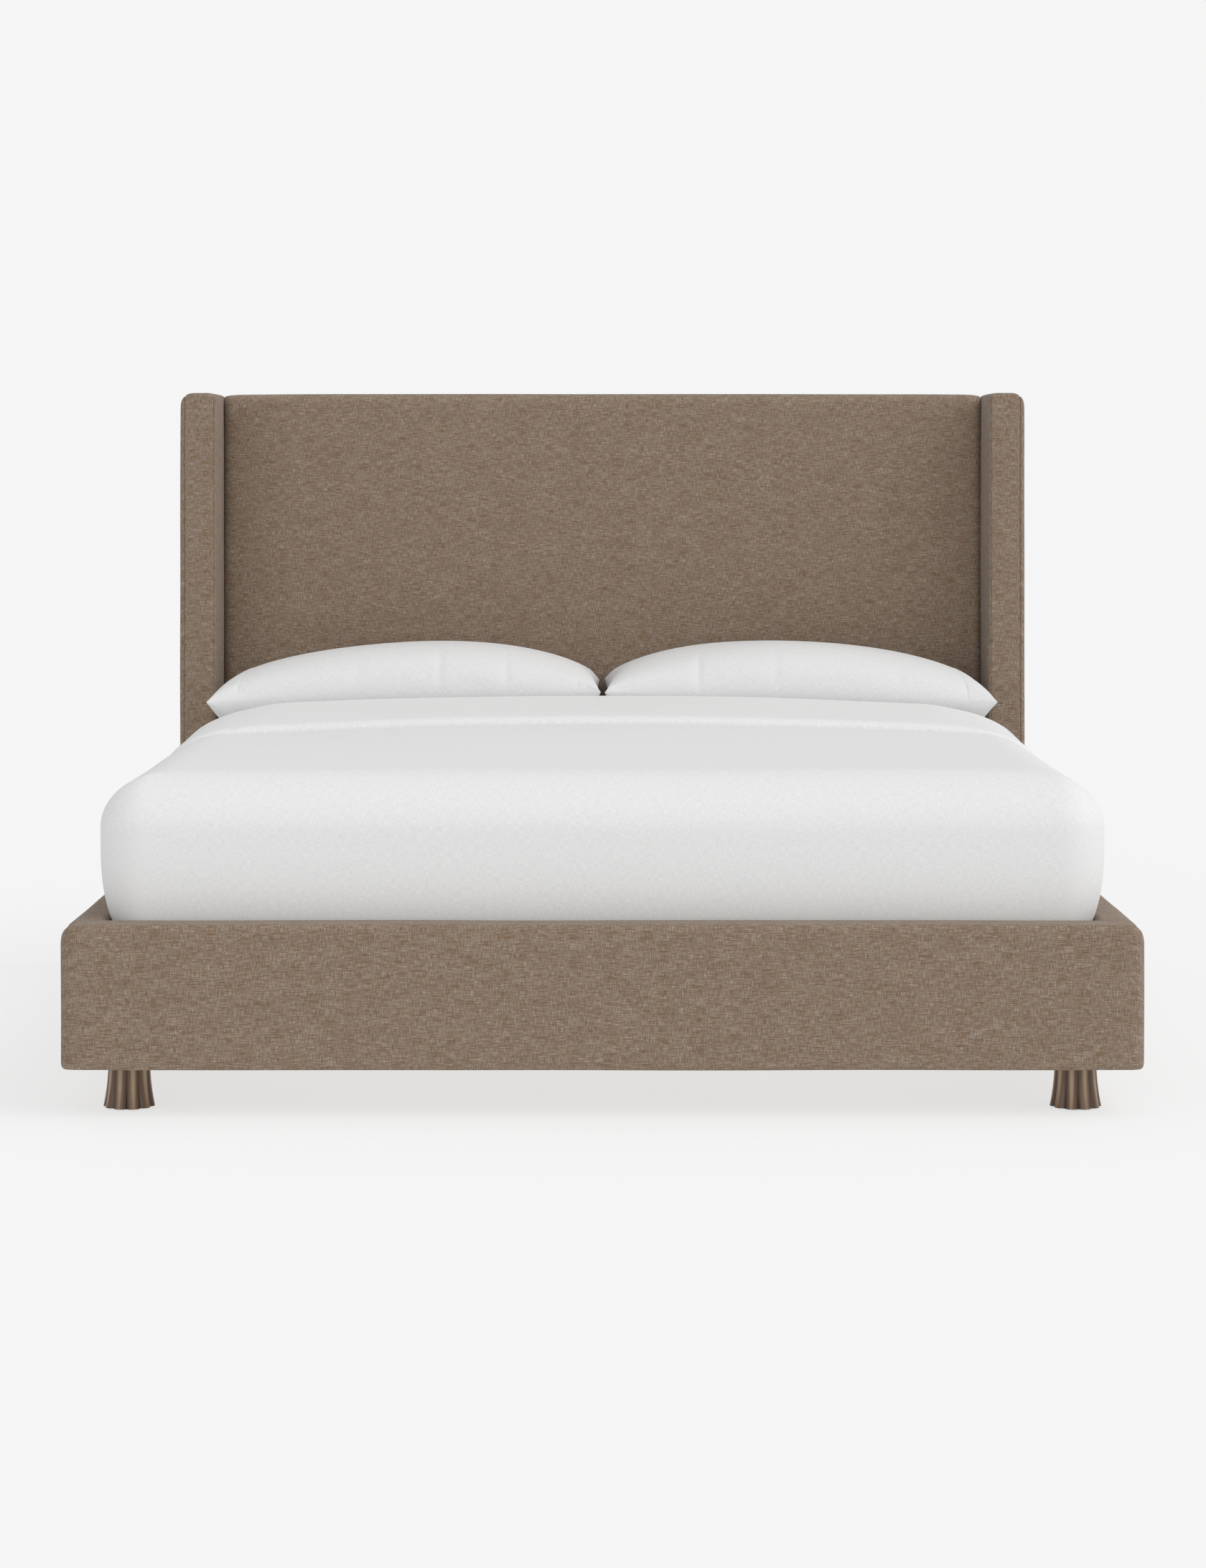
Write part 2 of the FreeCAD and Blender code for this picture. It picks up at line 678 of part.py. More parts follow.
def fluted_leg(name, x, y):
    """A leg of ten round reeds that flares towards the floor.

    The body's origin is the middle of the leg's top. A reed is a round bar bent along
    one arc that is upright at the top: a circle turned about a line that lies far
    outside the leg. A flared core fills the middle, and the foot is cut off level.
    """
    body = doc.addObject("PartDesign::Body", name)

    # The sketches are drawn near their final size, and their constraints then bind them.
    length = SIZES["leg_height"] - SIZES["glide_thickness"]
    flare_out = SIZES["leg_bottom_radius"] - SIZES["leg_top_radius"]
    reed_radius = SIZES["leg_lobe_radius"]
    hinge_x = SIZES["leg_top_radius"] + (length ** 2 + flare_out ** 2) / (2 * flare_out)
    disc_radius = SIZES["leg_bottom_radius"] * 2

    # The core's section: down the axis, out along the foot, and up the flare's arc,
    # which passes through the middle of the reeds.
    core = sketch_on(body, name + "_core_section", "XZ_Plane")
    top_end = FreeCAD.Vector(SIZES["leg_top_radius"] - reed_radius, 0, 0)
    foot_end = FreeCAD.Vector(SIZES["leg_bottom_radius"] - reed_radius, -length, 0)
    bow = FreeCAD.Vector(flare_out / 4, 0, 0)
    centre = FreeCAD.Vector(0, 0, 0)
    foot_centre = FreeCAD.Vector(0, -length, 0)
    top_line = core.addGeometry(Part.LineSegment(centre, top_end), False)
    foot_line = core.addGeometry(Part.LineSegment(foot_centre, foot_end), False)
    axis_line = core.addGeometry(Part.LineSegment(foot_centre, centre), False)
    flare = core.addGeometry(
        Part.Arc(top_end, (top_end + foot_end) * 0.5 - bow, foot_end), False)
    core.addConstraint([
        Sketcher.Constraint("Coincident", top_line, 1, -1, 1),
        Sketcher.Constraint("Coincident", axis_line, 2, -1, 1),
        Sketcher.Constraint("Coincident", axis_line, 1, foot_line, 1),
        Sketcher.Constraint("Coincident", top_line, 2, flare, 1),
        Sketcher.Constraint("Coincident", foot_line, 2, flare, 2),
        Sketcher.Constraint("Horizontal", top_line),
        Sketcher.Constraint("Horizontal", foot_line),
        Sketcher.Constraint("Vertical", axis_line),
        Sketcher.Constraint("PointOnObject", flare, 3, -1),
    ])
    bound(core, "leg_top_radius - leg_lobe_radius", "DistanceX", -1, 1, top_line, 2, top_end.x)
    bound(core, "leg_bottom_radius - leg_lobe_radius", "DistanceX", -1, 1, foot_line, 2,
          foot_end.x)
    bound(core, "leg_length", "DistanceY", axis_line, 1, axis_line, 2, length)
    turned = body.newObject("PartDesign::Revolution", name + "_core")
    turned.Profile = core
    turned.ReferenceAxis = (core, ["V_Axis"])
    turned.Angle = 360
    doc.recompute()

    # One reed, a little longer than the leg, then all of them, then the level cut.
    reed = sketch_on(body, name + "_reed_section", "XY_Plane")
    round_bar = reed.addGeometry(
        Part.Circle(top_end, FreeCAD.Vector(0, 0, 1), reed_radius), False)
    hinge_line = reed.addGeometry(
        Part.LineSegment(FreeCAD.Vector(hinge_x, -reed_radius / 2, 0),
                         FreeCAD.Vector(hinge_x, reed_radius / 2, 0)), True)
    reed.addConstraint([
        Sketcher.Constraint("PointOnObject", round_bar, 3, -1),
        Sketcher.Constraint("Symmetric", hinge_line, 1, hinge_line, 2, -1),
    ])
    bound(reed, "leg_lobe_radius", "Radius", round_bar, reed_radius)
    bound(reed, "leg_top_radius - leg_lobe_radius", "DistanceX", -1, 1, round_bar, 3, top_end.x)
    bound(reed, "leg_top_radius + flare_radius", "DistanceX", -1, 1, hinge_line, 1, hinge_x)
    bound(reed, "leg_lobe_radius", "DistanceY", hinge_line, 1, hinge_line, 2, reed_radius)
    bent = body.newObject("PartDesign::Revolution", name + "_reed")
    bent.Profile = reed
    bent.ReferenceAxis = (reed, ["Axis0"])
    bent.setExpression("Angle", formula(
        "asin((leg_length + leg_flare) / flare_radius) / 1 deg"))
    bent.Reversed = True
    doc.recompute()
    ring = body.newObject("PartDesign::PolarPattern", name + "_reeds")
    ring.Originals = [bent]
    ring.Axis = (origin_plane(body, "Z_Axis"), [""])
    ring.Angle = 360
    ring.Occurrences = LEG_LOBE_COUNT
    body.Tip = ring
    doc.recompute()
    level = sketch_on(body, name + "_level_section", "XY_Plane")
    disc = level.addGeometry(
        Part.Circle(centre, FreeCAD.Vector(0, 0, 1), disc_radius), False)
    level.addConstraint(Sketcher.Constraint("Coincident", disc, 3, -1, 1))
    bound(level, "leg_bottom_radius * 2", "Radius", disc, disc_radius)
    level.setExpression("AttachmentOffset.Base.z", formula("-leg_length"))
    trim = body.newObject("PartDesign::Pocket", name + "_level")
    trim.Profile = level
    trim.Type = 1
    trim.Reversed = False
    body.Tip = trim
    place(body, x, y, "leg_height")
    doc.recompute()
    if trim.Shape.Volume >= ring.Shape.Volume:
        raise SystemExit(f"{name}: the level cut took nothing")
    return body


# Legs: one under each corner block, held by a stud that is screwed into both, with a
# glide under its foot.
studs = []
glides = []
for side in ("left", "right"):
    for end, leg_y in (("front", "front_leg_y"), ("rear", "rear_leg_y")):
        leg_x = f"{sign(side)}(leg_x)"
        leg = fluted_leg(f"{side}_{end}_reeded_leg", leg_x, leg_y)
        piece(f"{end}_{side}_leg",
              cut(f"{side}_{end}_bored_leg", leg, stud_holes[end, side]))
        studs.append(cylinder(f"{side}_{end}_stud", "hanger_bolt_radius", "hanger_bolt_length",
                              leg_x, leg_y, "stud_bottom"))
        glides.append(cylinder(f"{side}_{end}_glide", "glide_radius", "glide_thickness",
                               leg_x, leg_y, "0"))

piece("leg_hanger_bolts", group("HangerBolts", studs))
piece("leg_glides", group("Glides", glides))
piece("frame_bolts", group("FrameBolts", bolts))
piece("wood_screws", group("WoodScrews", screws))

# Bedding. The coverlet is one soft piece: the part over the mattress, the skirt that is
# tucked inside the surround, and the end that is turned down in front of the pillows.
mattress_half = "mattress_width / 2"
piece("mattress", rounded_block(
    "mattress_block", (f"-{mattress_half}", mattress_half), ("mattress_front", "mattress_back"),
    ("deck_height", "mattress_top"),
    [("front left", "front right", "rear left", "rear right", "mattress_corner"),
     ("top front", "mattress_edge"), ("bottom front", "mattress_edge")]))

pocket_half = "(mattress_width / 2 + pocket_clearance)"
pocket = rounded_block(
    "coverlet_pocket", (f"-{pocket_half}", pocket_half),
    ("mattress_front - pocket_clearance", "mattress_back"),
    ("deck_height", "mattress_top"),
    [("front left", "front right", "mattress_corner + pocket_clearance")])
main_part = rounded_block(
    "coverlet_main", ("-coverlet_half", "coverlet_half"), ("coverlet_front", "coverlet_back"),
    ("coverlet_bottom", "coverlet_top"),
    [("front left", "front right", "coverlet_corner"), ("top front", "coverlet_edge")])
skirt = rounded_block(
    "coverlet_skirt", ("-skirt_half", "skirt_half"), ("coverlet_front", "coverlet_back"),
    ("frame_top - skirt_depth", "coverlet_bottom + skirt_lap"),
    [("front left", "front right", "skirt_corner")])
fold = rounded_block(
    "coverlet_fold", ("-(coverlet_half + fold_overhang)", "coverlet_half + fold_overhang"),
    ("coverlet_back - fold_width", "coverlet_back"),
    ("coverlet_bottom", "coverlet_top + fold_thickness"),
    [("top left", "top right", "coverlet_edge")])
piece("coverlet", cut("CoverletShell", fuse("coverlet_layers", main_part, skirt, fold), pocket))

for side in ("left", "right"):
    piece(f"pillow_{side}", rounded_block(
        f"{side}_pillow_block",
        mirrored(side, "pillow_middle_gap / 2", "mattress_width / 2 - pillow_side_gap"),
        ("pillow_front", "pillow_back"), ("mattress_top", "mattress_top + pillow_height"),
        [("front left", "front right", "rear left", "rear right", "pillow_corner"),
         ("top front", "pillow_top_edge"), ("bottom front", "pillow_bottom_edge")]))


def finish():
    """Check every object and every sub-part, then write the STEP files."""
    doc.recompute()
    for item in doc.Objects:
        if "Invalid" in item.State or "Error" in item.State:
            raise SystemExit(f"{item.Name} failed: {item.State}")
    os.makedirs("parts", exist_ok=True)
    for item in pieces:
        if item.Shape.isNull() or not item.Shape.isValid():
            raise SystemExit(f"{item.Label} has no valid shape")
    for item in pieces:
        item.Shape.exportStep(f"parts/{item.Label}.step")
    print(len(pieces), "sub-parts written")


finish()
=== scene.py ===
"""An upholstered bed in a pale studio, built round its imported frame.

The sections follow the order in which the bed is put together: the studio it stands in,
the timber frame, the padded headboard, wings and surround, the legs, and the bedding.
All lengths are in metres.
"""
import math

import bmesh
import bpy
import numpy as np
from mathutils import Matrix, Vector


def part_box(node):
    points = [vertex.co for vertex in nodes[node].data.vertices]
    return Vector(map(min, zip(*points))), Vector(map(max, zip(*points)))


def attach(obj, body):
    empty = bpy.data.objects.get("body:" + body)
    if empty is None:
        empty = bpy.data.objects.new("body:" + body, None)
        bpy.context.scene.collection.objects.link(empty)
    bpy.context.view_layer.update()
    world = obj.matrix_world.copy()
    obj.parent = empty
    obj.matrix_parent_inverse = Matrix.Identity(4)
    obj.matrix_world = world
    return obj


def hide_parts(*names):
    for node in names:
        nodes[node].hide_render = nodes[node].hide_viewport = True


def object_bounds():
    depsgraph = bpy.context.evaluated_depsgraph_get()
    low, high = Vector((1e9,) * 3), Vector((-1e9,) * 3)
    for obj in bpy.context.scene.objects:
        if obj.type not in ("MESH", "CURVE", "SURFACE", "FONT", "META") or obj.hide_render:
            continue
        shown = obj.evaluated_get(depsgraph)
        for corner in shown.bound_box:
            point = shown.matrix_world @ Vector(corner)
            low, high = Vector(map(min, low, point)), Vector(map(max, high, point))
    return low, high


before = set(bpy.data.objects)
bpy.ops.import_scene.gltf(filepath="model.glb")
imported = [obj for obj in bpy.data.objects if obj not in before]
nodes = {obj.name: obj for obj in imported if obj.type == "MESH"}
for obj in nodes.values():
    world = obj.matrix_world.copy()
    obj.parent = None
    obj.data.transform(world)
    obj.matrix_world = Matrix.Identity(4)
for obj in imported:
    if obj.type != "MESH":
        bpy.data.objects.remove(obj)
cad_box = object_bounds()

# ---------------------------------------------------------------------------
# Studio. A pale seamless floor, an even sky of soft light, a broad key light from the
# right and a weaker one from the front. The camera stands level, well back from the bed.

foot_y = cad_box[0].y
CAMERA_BACK = 6.80
CAMERA_HEIGHT = 1.2516
LENS = 80.24
SENSOR_WIDTH = 36.0
SIDE_SHIFT = 0.0004
DOWN_SHIFT = 0.1972
PALE_GREY = "F5F5F5"
PAPER_SHARE = 0.27
PAPER_TONE = "F7F7F7"
PAPER_BOUNCE = 0.90
SKY_LIGHT = 0.62
KEY_LIGHT = 1.42
KEY_TOWARDS = Vector((0.50, -0.12, 0.46)).normalized()
FILL_LIGHT = 0.80
FILL_TOWARDS = Vector((-0.25, -1.0, 0.10)).normalized()
SOFT_SPREAD = 60


def linear(code):
    """An sRGB hex colour as linear red, green, blue and alpha."""
    share = np.array([int(code[i:i + 2], 16) for i in (0, 2, 4)]) / 255
    bright = np.where(share <= 0.04045, share / 12.92, ((share + 0.055) / 1.055) ** 2.4)
    return (*bright.tolist(), 1.0)


def add(tree, kind, links=None, **settings):
    """Add a shader node, give it its settings, and set or link its inputs."""
    made = tree.nodes.new(kind)
    for name, value in settings.items():
        setattr(made, name, value)
    for name, value in (links or {}).items():
        if isinstance(value, bpy.types.NodeSocket):
            tree.links.new(value, made.inputs[name])
        else:
            made.inputs[name].default_value = value
    return made


def new_material(name):
    """An empty material with its output, and its node tree."""
    made = bpy.data.materials.new(name)
    made.use_nodes = True
    made.node_tree.nodes.clear()
    return made, made.node_tree


def studio_floor_material():
    """Seamless paper: mostly even light of its own, with a share that takes shadows.

    The glow makes up what the lit paper lacks of the sky's tone, so that no horizon
    shows. Towards the bed it glows only at PAPER_BOUNCE.
    """
    made, tree = new_material("seamless_paper")
    lit_share = (KEY_LIGHT * KEY_TOWARDS.z + FILL_LIGHT * FILL_TOWARDS.z) / math.pi + SKY_LIGHT
    pale = linear(PALE_GREY)[0]
    lacking = pale - PAPER_SHARE * linear(PAPER_TONE)[0] * lit_share
    sight = add(tree, "ShaderNodeLightPath")
    strength = add(tree, "ShaderNodeMapRange",
                   {"Value": sight.outputs["Is Camera Ray"], "To Min": PAPER_BOUNCE,
                    "To Max": lacking / (pale * (1 - PAPER_SHARE))})
    glow = add(tree, "ShaderNodeEmission",
               {"Color": linear(PALE_GREY), "Strength": strength.outputs[0]})
    paper = add(tree, "ShaderNodeBsdfDiffuse", {"Color": linear(PAPER_TONE)})
    mixed = add(tree, "ShaderNodeMixShader",
                {0: PAPER_SHARE, 1: glow.outputs[0], 2: paper.outputs[0]})
    add(tree, "ShaderNodeOutputMaterial", {"Surface": mixed.outputs[0]})
    return made


floor_reach = 30.0
floor_mesh = bpy.data.meshes.new("studio_floor")
floor_mesh.from_pydata(
    [(-floor_reach, -floor_reach, 0), (floor_reach, -floor_reach, 0),
     (floor_reach, floor_reach, 0), (-floor_reach, floor_reach, 0)], [], [(0, 1, 2, 3)])
floor_mesh.materials.append(studio_floor_material())
floor = bpy.data.objects.new("studio_floor", floor_mesh)
bpy.context.scene.collection.objects.link(floor)

world = bpy.data.worlds.new("studio_sky")
bpy.context.scene.world = world
world.use_nodes = True
world.node_tree.nodes.clear()
sky = world.node_tree
seen = add(sky, "ShaderNodeBackground", {"Color": linear(PALE_GREY), "Strength": 1.0})
lit = add(sky, "ShaderNodeBackground", {"Color": linear("FFFFFF"), "Strength": SKY_LIGHT})
ray = add(sky, "ShaderNodeLightPath")
both = add(sky, "ShaderNodeMixShader",
           {0: ray.outputs["Is Camera Ray"], 1: lit.outputs[0], 2: seen.outputs[0]})
add(sky, "ShaderNodeOutputWorld", {"Surface": both.outputs[0]})


def sun(name, strength, towards):
    """A broad, even light. towards points from the bed to the light."""
    lamp = bpy.data.lights.new(name, "SUN")
    lamp.energy = strength
    lamp.angle = math.radians(SOFT_SPREAD)
    holder = bpy.data.objects.new(name, lamp)
    holder.rotation_mode = "QUATERNION"
    holder.rotation_quaternion = towards.to_track_quat("Z", "Y")
    bpy.context.scene.collection.objects.link(holder)


sun("key_light", KEY_LIGHT, KEY_TOWARDS)
sun("fill_light", FILL_LIGHT, FILL_TOWARDS)

camera_data = bpy.data.cameras.new("camera")
camera_data.lens = LENS
camera_data.sensor_width = SENSOR_WIDTH
camera_data.shift_x = SIDE_SHIFT
camera_data.shift_y = -DOWN_SHIFT
camera_data.clip_end = 100.0
camera = bpy.data.objects.new("camera", camera_data)
camera.location = (0.0, foot_y - CAMERA_BACK, CAMERA_HEIGHT)
camera.rotation_euler = (math.radians(90), 0, 0)
bpy.context.scene.collection.objects.link(camera)
bpy.context.scene.camera = camera
bpy.context.scene.view_settings.view_transform = "Standard"

# ---------------------------------------------------------------------------
# Timber frame. Planed softwood boards and slats, with knots left out: straight pale
# grain along each board. The face board and centre boards are the same softwood ply.


def planed_pine(name, along, pale="D9BC8E", dark="B98F5C"):
    """Planed pine: early and late wood in long stripes along one axis, dull and open.

    The stripes are a noise squeezed across the grain, 4 mm wide and about 0.3 m long.
    """
    made, tree = new_material(name)
    place = add(tree, "ShaderNodeTexCoord")
    squeeze = [220.0, 220.0, 220.0]
    squeeze["xyz".index(along)] = 3.0
    grain_space = add(tree, "ShaderNodeMapping",
                      {"Vector": place.outputs["Object"], "Scale": squeeze})
    stripes = add(tree, "ShaderNodeTexNoise",
                  {"Vector": grain_space.outputs[0], "Scale": 0.5, "Detail": 4.0,
                   "Roughness": 0.6, "Distortion": 0.4})
    tone = add(tree, "ShaderNodeValToRGB", {"Fac": stripes.outputs[0]})
    tone.color_ramp.elements[0].color = linear(dark)
    tone.color_ramp.elements[0].position = 0.3
    tone.color_ramp.elements[1].color = linear(pale)
    tone.color_ramp.elements[1].position = 0.62
    relief = add(tree, "ShaderNodeBump",
                 {"Height": stripes.outputs[0], "Strength": 0.25, "Distance": 0.0006})
    wood = add(tree, "ShaderNodeBsdfPrincipled",
               {"Base Color": tone.outputs[0], "Roughness": 0.62, "IOR": 1.5,
                "Normal": relief.outputs[0]})
    add(tree, "ShaderNodeOutputMaterial", {"Surface": wood.outputs[0]})
    return made


pine_along = {axis: planed_pine(f"planed_pine_{axis}", axis) for axis in "xyz"}


def finish_nodes(material, *names):
    """Give CAD nodes one material in place of their own."""
    for name in names:
        mesh = nodes[name].data
        mesh.materials.clear()
        mesh.materials.append(material)


finish_nodes(pine_along["x"], "headboard_top_rail", "headboard_middle_rail",
             "headboard_bottom_rail", "headboard_face_board", "footboard_board",
             *(name for name in nodes if name.startswith("slat_")))
finish_nodes(pine_along["y"], "left_rail_board", "right_rail_board", "left_ledger",
             "right_ledger", "center_beam")
finish_nodes(pine_along["z"], "headboard_left_post", "headboard_right_post",
             "left_wing_core", "right_wing_core", "center_leg_1", "center_leg_2",
             *(name for name in nodes if name.endswith("corner_block")))

# ---------------------------------------------------------------------------
# Steel and plastic hardware. Bright zinc plating on bolts, screws, studs, the beam's
# hanger and the screw feet, and black nylon glides under the legs.


def zinc_plate():
    """Bright zinc plating: a cool pale metal with cloudy patches and a fine tooth."""
    made, tree = new_material("zinc_plated_steel")
    place = add(tree, "ShaderNodeTexCoord")
    clouds = add(tree, "ShaderNodeTexNoise",
                 {"Vector": place.outputs["Object"], "Scale": 120.0, "Detail": 3.0})
    tone = add(tree, "ShaderNodeValToRGB", {"Fac": clouds.outputs[0]})
    tone.color_ramp.elements[0].color = linear("A9ACAD")
    tone.color_ramp.elements[1].color = linear("D2D3D0")
    tooth = add(tree, "ShaderNodeTexNoise",
                {"Vector": place.outputs["Object"], "Scale": 900.0, "Detail": 2.0})
    relief = add(tree, "ShaderNodeBump",
                 {"Height": tooth.outputs[0], "Strength": 0.15, "Distance": 0.0002})
    metal = add(tree, "ShaderNodeBsdfPrincipled",
                {"Base Color": tone.outputs[0], "Metallic": 1.0, "Roughness": 0.34,
                 "Normal": relief.outputs[0]})
    add(tree, "ShaderNodeOutputMaterial", {"Surface": metal.outputs[0]})
    return made


def black_nylon():
    """Moulded nylon: near black, half matt, with a fine spark-eroded grain."""
    made, tree = new_material("moulded_black_nylon")
    place = add(tree, "ShaderNodeTexCoord")
    grain = add(tree, "ShaderNodeTexNoise",
                {"Vector": place.outputs["Object"], "Scale": 1500.0, "Detail": 2.0})
    relief = add(tree, "ShaderNodeBump",
                 {"Height": grain.outputs[0], "Strength": 0.3, "Distance": 0.0002})
    tone = add(tree, "ShaderNodeValToRGB", {"Fac": grain.outputs[0]})
    tone.color_ramp.elements[0].color = linear("1E1C1A")
    tone.color_ramp.elements[1].color = linear("2B2825")
    nylon = add(tree, "ShaderNodeBsdfPrincipled",
                {"Base Color": tone.outputs[0], "Roughness": 0.5, "IOR": 1.53,
                 "Normal": relief.outputs[0]})
    add(tree, "ShaderNodeOutputMaterial", {"Surface": nylon.outputs[0]})
    return made


finish_nodes(zinc_plate(), "frame_bolts", "wood_screws", "leg_hanger_bolts", "beam_hanger",
             "leveller_1", "leveller_2")
finish_nodes(black_nylon(), "leg_glides")

# ---------------------------------------------------------------------------
# Headboard panel. Foam over a face board, covered in a heavy linen-look tweed that is
# pulled over the top and stapled behind. The cloth is taupe-brown with slubs: short
# thicker threads, some lighter and some darker, that run both ways.


def linen_tweed():
    """Heavy linen-look tweed, drawn from the cloth's own coordinates in metres.

    Weft runs across the cloth and warp up it. Each thread's tone is a noise 1.3 mm wide,
    and slubs are noises 1.9 mm wide: the weft's are brown and long, the warp's are grey
    and shorter. Real threads are about 0.7 mm apart, so they are drawn twice as wide.
    """
    made, tree = new_material("linen_tweed_taupe")
    own = add(tree, "ShaderNodeUVMap", uv_map="cloth")

    def threads(width, height, detail, offset):
        """A noise of the given width and height in metres, set off from the others."""
        spread = add(tree, "ShaderNodeMapping",
                     {"Vector": own.outputs[0], "Location": (offset, offset * 1.7, 0.0),
                      "Scale": (1 / width, 1 / height, 1.0)})
        return add(tree, "ShaderNodeTexNoise",
                   {"Vector": spread.outputs[0], "Scale": 1.0, "Detail": detail,
                    "Roughness": 0.65}, noise_dimensions="2D").outputs[0]

    def sum_of(first, second, share):
        """first + share * second."""
        return add(tree, "ShaderNodeMath", {0: second, 1: share, 2: first},
                   operation="MULTIPLY_ADD").outputs[0]

    weft = threads(0.018, 0.0013, 3.0, 3.1)
    warp = threads(0.0013, 0.012, 3.0, 11.3)
    grey_slub = threads(0.0019, 0.018, 2.0, 21.7)
    brown_slub = threads(0.034, 0.0019, 2.0, 37.9)
    patch = threads(0.090, 0.030, 3.0, 5.3)
    crossed = sum_of(weft, warp, 0.7)
    lighter = sum_of(sum_of(crossed, grey_slub, 0.7), patch, 0.2)
    level = add(tree, "ShaderNodeMapRange",
                {"Value": lighter, "From Min": 0.98, "From Max": 1.62})
    tone = add(tree, "ShaderNodeValToRGB", {"Fac": level.outputs[0]})
    tone.color_ramp.elements[0].color = linear("68584A")
    tone.color_ramp.elements[1].color = linear("ACA091")
    tone.color_ramp.elements.new(0.5).color = linear("887869")
    brown = add(tree, "ShaderNodeMapRange",
                {"Value": sum_of(brown_slub, weft, 0.4), "From Min": 0.70, "From Max": 0.92})
    dyed = add(tree, "ShaderNodeMix",
               {0: brown.outputs[0], 6: tone.outputs[0], 7: linear("785D43")}, data_type="RGBA")
    relief = add(tree, "ShaderNodeBump",
                 {"Height": crossed, "Strength": 0.35, "Distance": 0.0007})
    cloth = add(tree, "ShaderNodeBsdfPrincipled",
                {"Base Color": dyed.outputs[2], "Roughness": 0.92, "IOR": 1.45,
                 "Specular IOR Level": 0.25, "Sheen Weight": 0.10, "Sheen Roughness": 0.5,
                 "Normal": relief.outputs[0]})
    add(tree, "ShaderNodeOutputMaterial", {"Surface": cloth.outputs[0]})
    return made


tweed = linen_tweed()


def corners(node):
    """The low and high corners of a CAD node's box, as arrays."""
    low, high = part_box(node)
    return np.array(low), np.array(high)


def shaken(points, amount, length, seed):
    """The small unevenness of stuffed cloth: a sum of eight sines in random directions.

    Each adds amount / 3 * sin(wave . point + start) along a random direction, with a
    wavelength between length and 2.5 times length.
    """
    dice = np.random.default_rng(seed)
    moved = points.copy()
    for _ in range(8):
        wave = dice.normal(size=3)
        wave *= 2 * math.pi / (np.linalg.norm(wave) * length * dice.uniform(1.0, 2.5))
        push = dice.normal(size=3)
        push *= amount / 3 / np.linalg.norm(push)
        moved += np.sin(points @ wave + dice.uniform(0, 2 * math.pi))[..., None] * push
    return moved


def crowned(points, low, high, rises):
    """Faces that swell in their middles, as foam under cloth does.

    With q from -1 to 1 across the block, axis i moves by rise_i * q_i times the product
    of (1 - q_j ^ 4) over the other two axes.
    """
    q = 2 * (points - low) / (high - low) - 1
    full = 1 - np.clip(q, -1, 1) ** 4
    moved = points.copy()
    for i in range(3):
        j, k = (i + 1) % 3, (i + 2) % 3
        moved[..., i] += rises[i] * q[..., i] * full[..., j] * full[..., k]
    return moved


def placed(name, mesh, body):
    """Put a mesh in the scene as a piece that rides with a body."""
    made = bpy.data.objects.new(name, mesh)
    bpy.context.scene.collection.objects.link(made)
    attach(made, body)
    return made


def cloth_piece(name, rows, uv, material, body, round_rows=True):
    """A mesh from a grid of points, with a map of the cloth in metres.

    rows is an array of (row, column, 3). The columns close on themselves if round_rows
    is true. uv gives a pair for each corner of each face: (row, column, corner, 2).
    """
    count, width = rows.shape[:2]
    columns = width if round_rows else width - 1
    i, j = np.meshgrid(np.arange(count - 1), np.arange(columns), indexing="ij")
    after = (j + 1) % width
    faces = np.stack([i * width + j, i * width + after, (i + 1) * width + after,
                      (i + 1) * width + j], axis=-1).reshape(-1, 4)
    mesh = bpy.data.meshes.new(name)
    mesh.from_pydata(rows.reshape(-1, 3), [], faces.tolist())
    layer = mesh.uv_layers.new(name="cloth")
    layer.data.foreach_set("uv", np.ascontiguousarray(uv, dtype=np.float32).ravel())
    work = bmesh.new()
    work.from_mesh(mesh)
    bmesh.ops.remove_doubles(work, verts=work.verts, dist=1e-6)
    bmesh.ops.recalc_face_normals(work, faces=work.faces)
    work.to_mesh(mesh)
    work.free()
    mesh.polygons.foreach_set("use_smooth", [True] * len(mesh.polygons))
    mesh.set_sharp_from_angle(angle=math.radians(50))
    mesh.materials.append(material)
    return placed(name, mesh, body)


def corner_pairs(u, v):
    """Spread two grids of (row, column) over the corners of each face between them."""
    grid = np.stack([u, v], axis=-1)
    return np.stack([grid[:-1, :-1], grid[:-1, 1:], grid[1:, 1:], grid[1:, :-1]], axis=2)


def drawn_in(along, length, low_end, high_end):
    """How far a side draws in at each station, by a quarter of an ellipse at each end.

    Within run of an end the side is depth * (1 - sqrt(1 - (1 - s / run) ^ 2)) further in.
    """
    total = np.zeros_like(along)
    for distance, (run, depth) in ((along, low_end), (length - along, high_end)):
        near = np.clip(1 - distance / run, 0, 1)
        total += depth * (1 - np.sqrt(1 - near ** 2))
    return total


def stations(length, low_run, high_run, middle, seams=()):
    """Places along a block: close together round its ends and at its seams."""
    turn = 1 - np.cos(np.linspace(0, math.pi / 2, 9))
    places = [low_run * turn, length - high_run * turn,
              np.linspace(low_run, length - high_run, middle)]
    for seam in seams:
        places.append(seam + np.array([-4, -2, -1, 0, 1, 2, 4]) * 0.001)
    return np.unique(np.round(np.concatenate(places), 6))


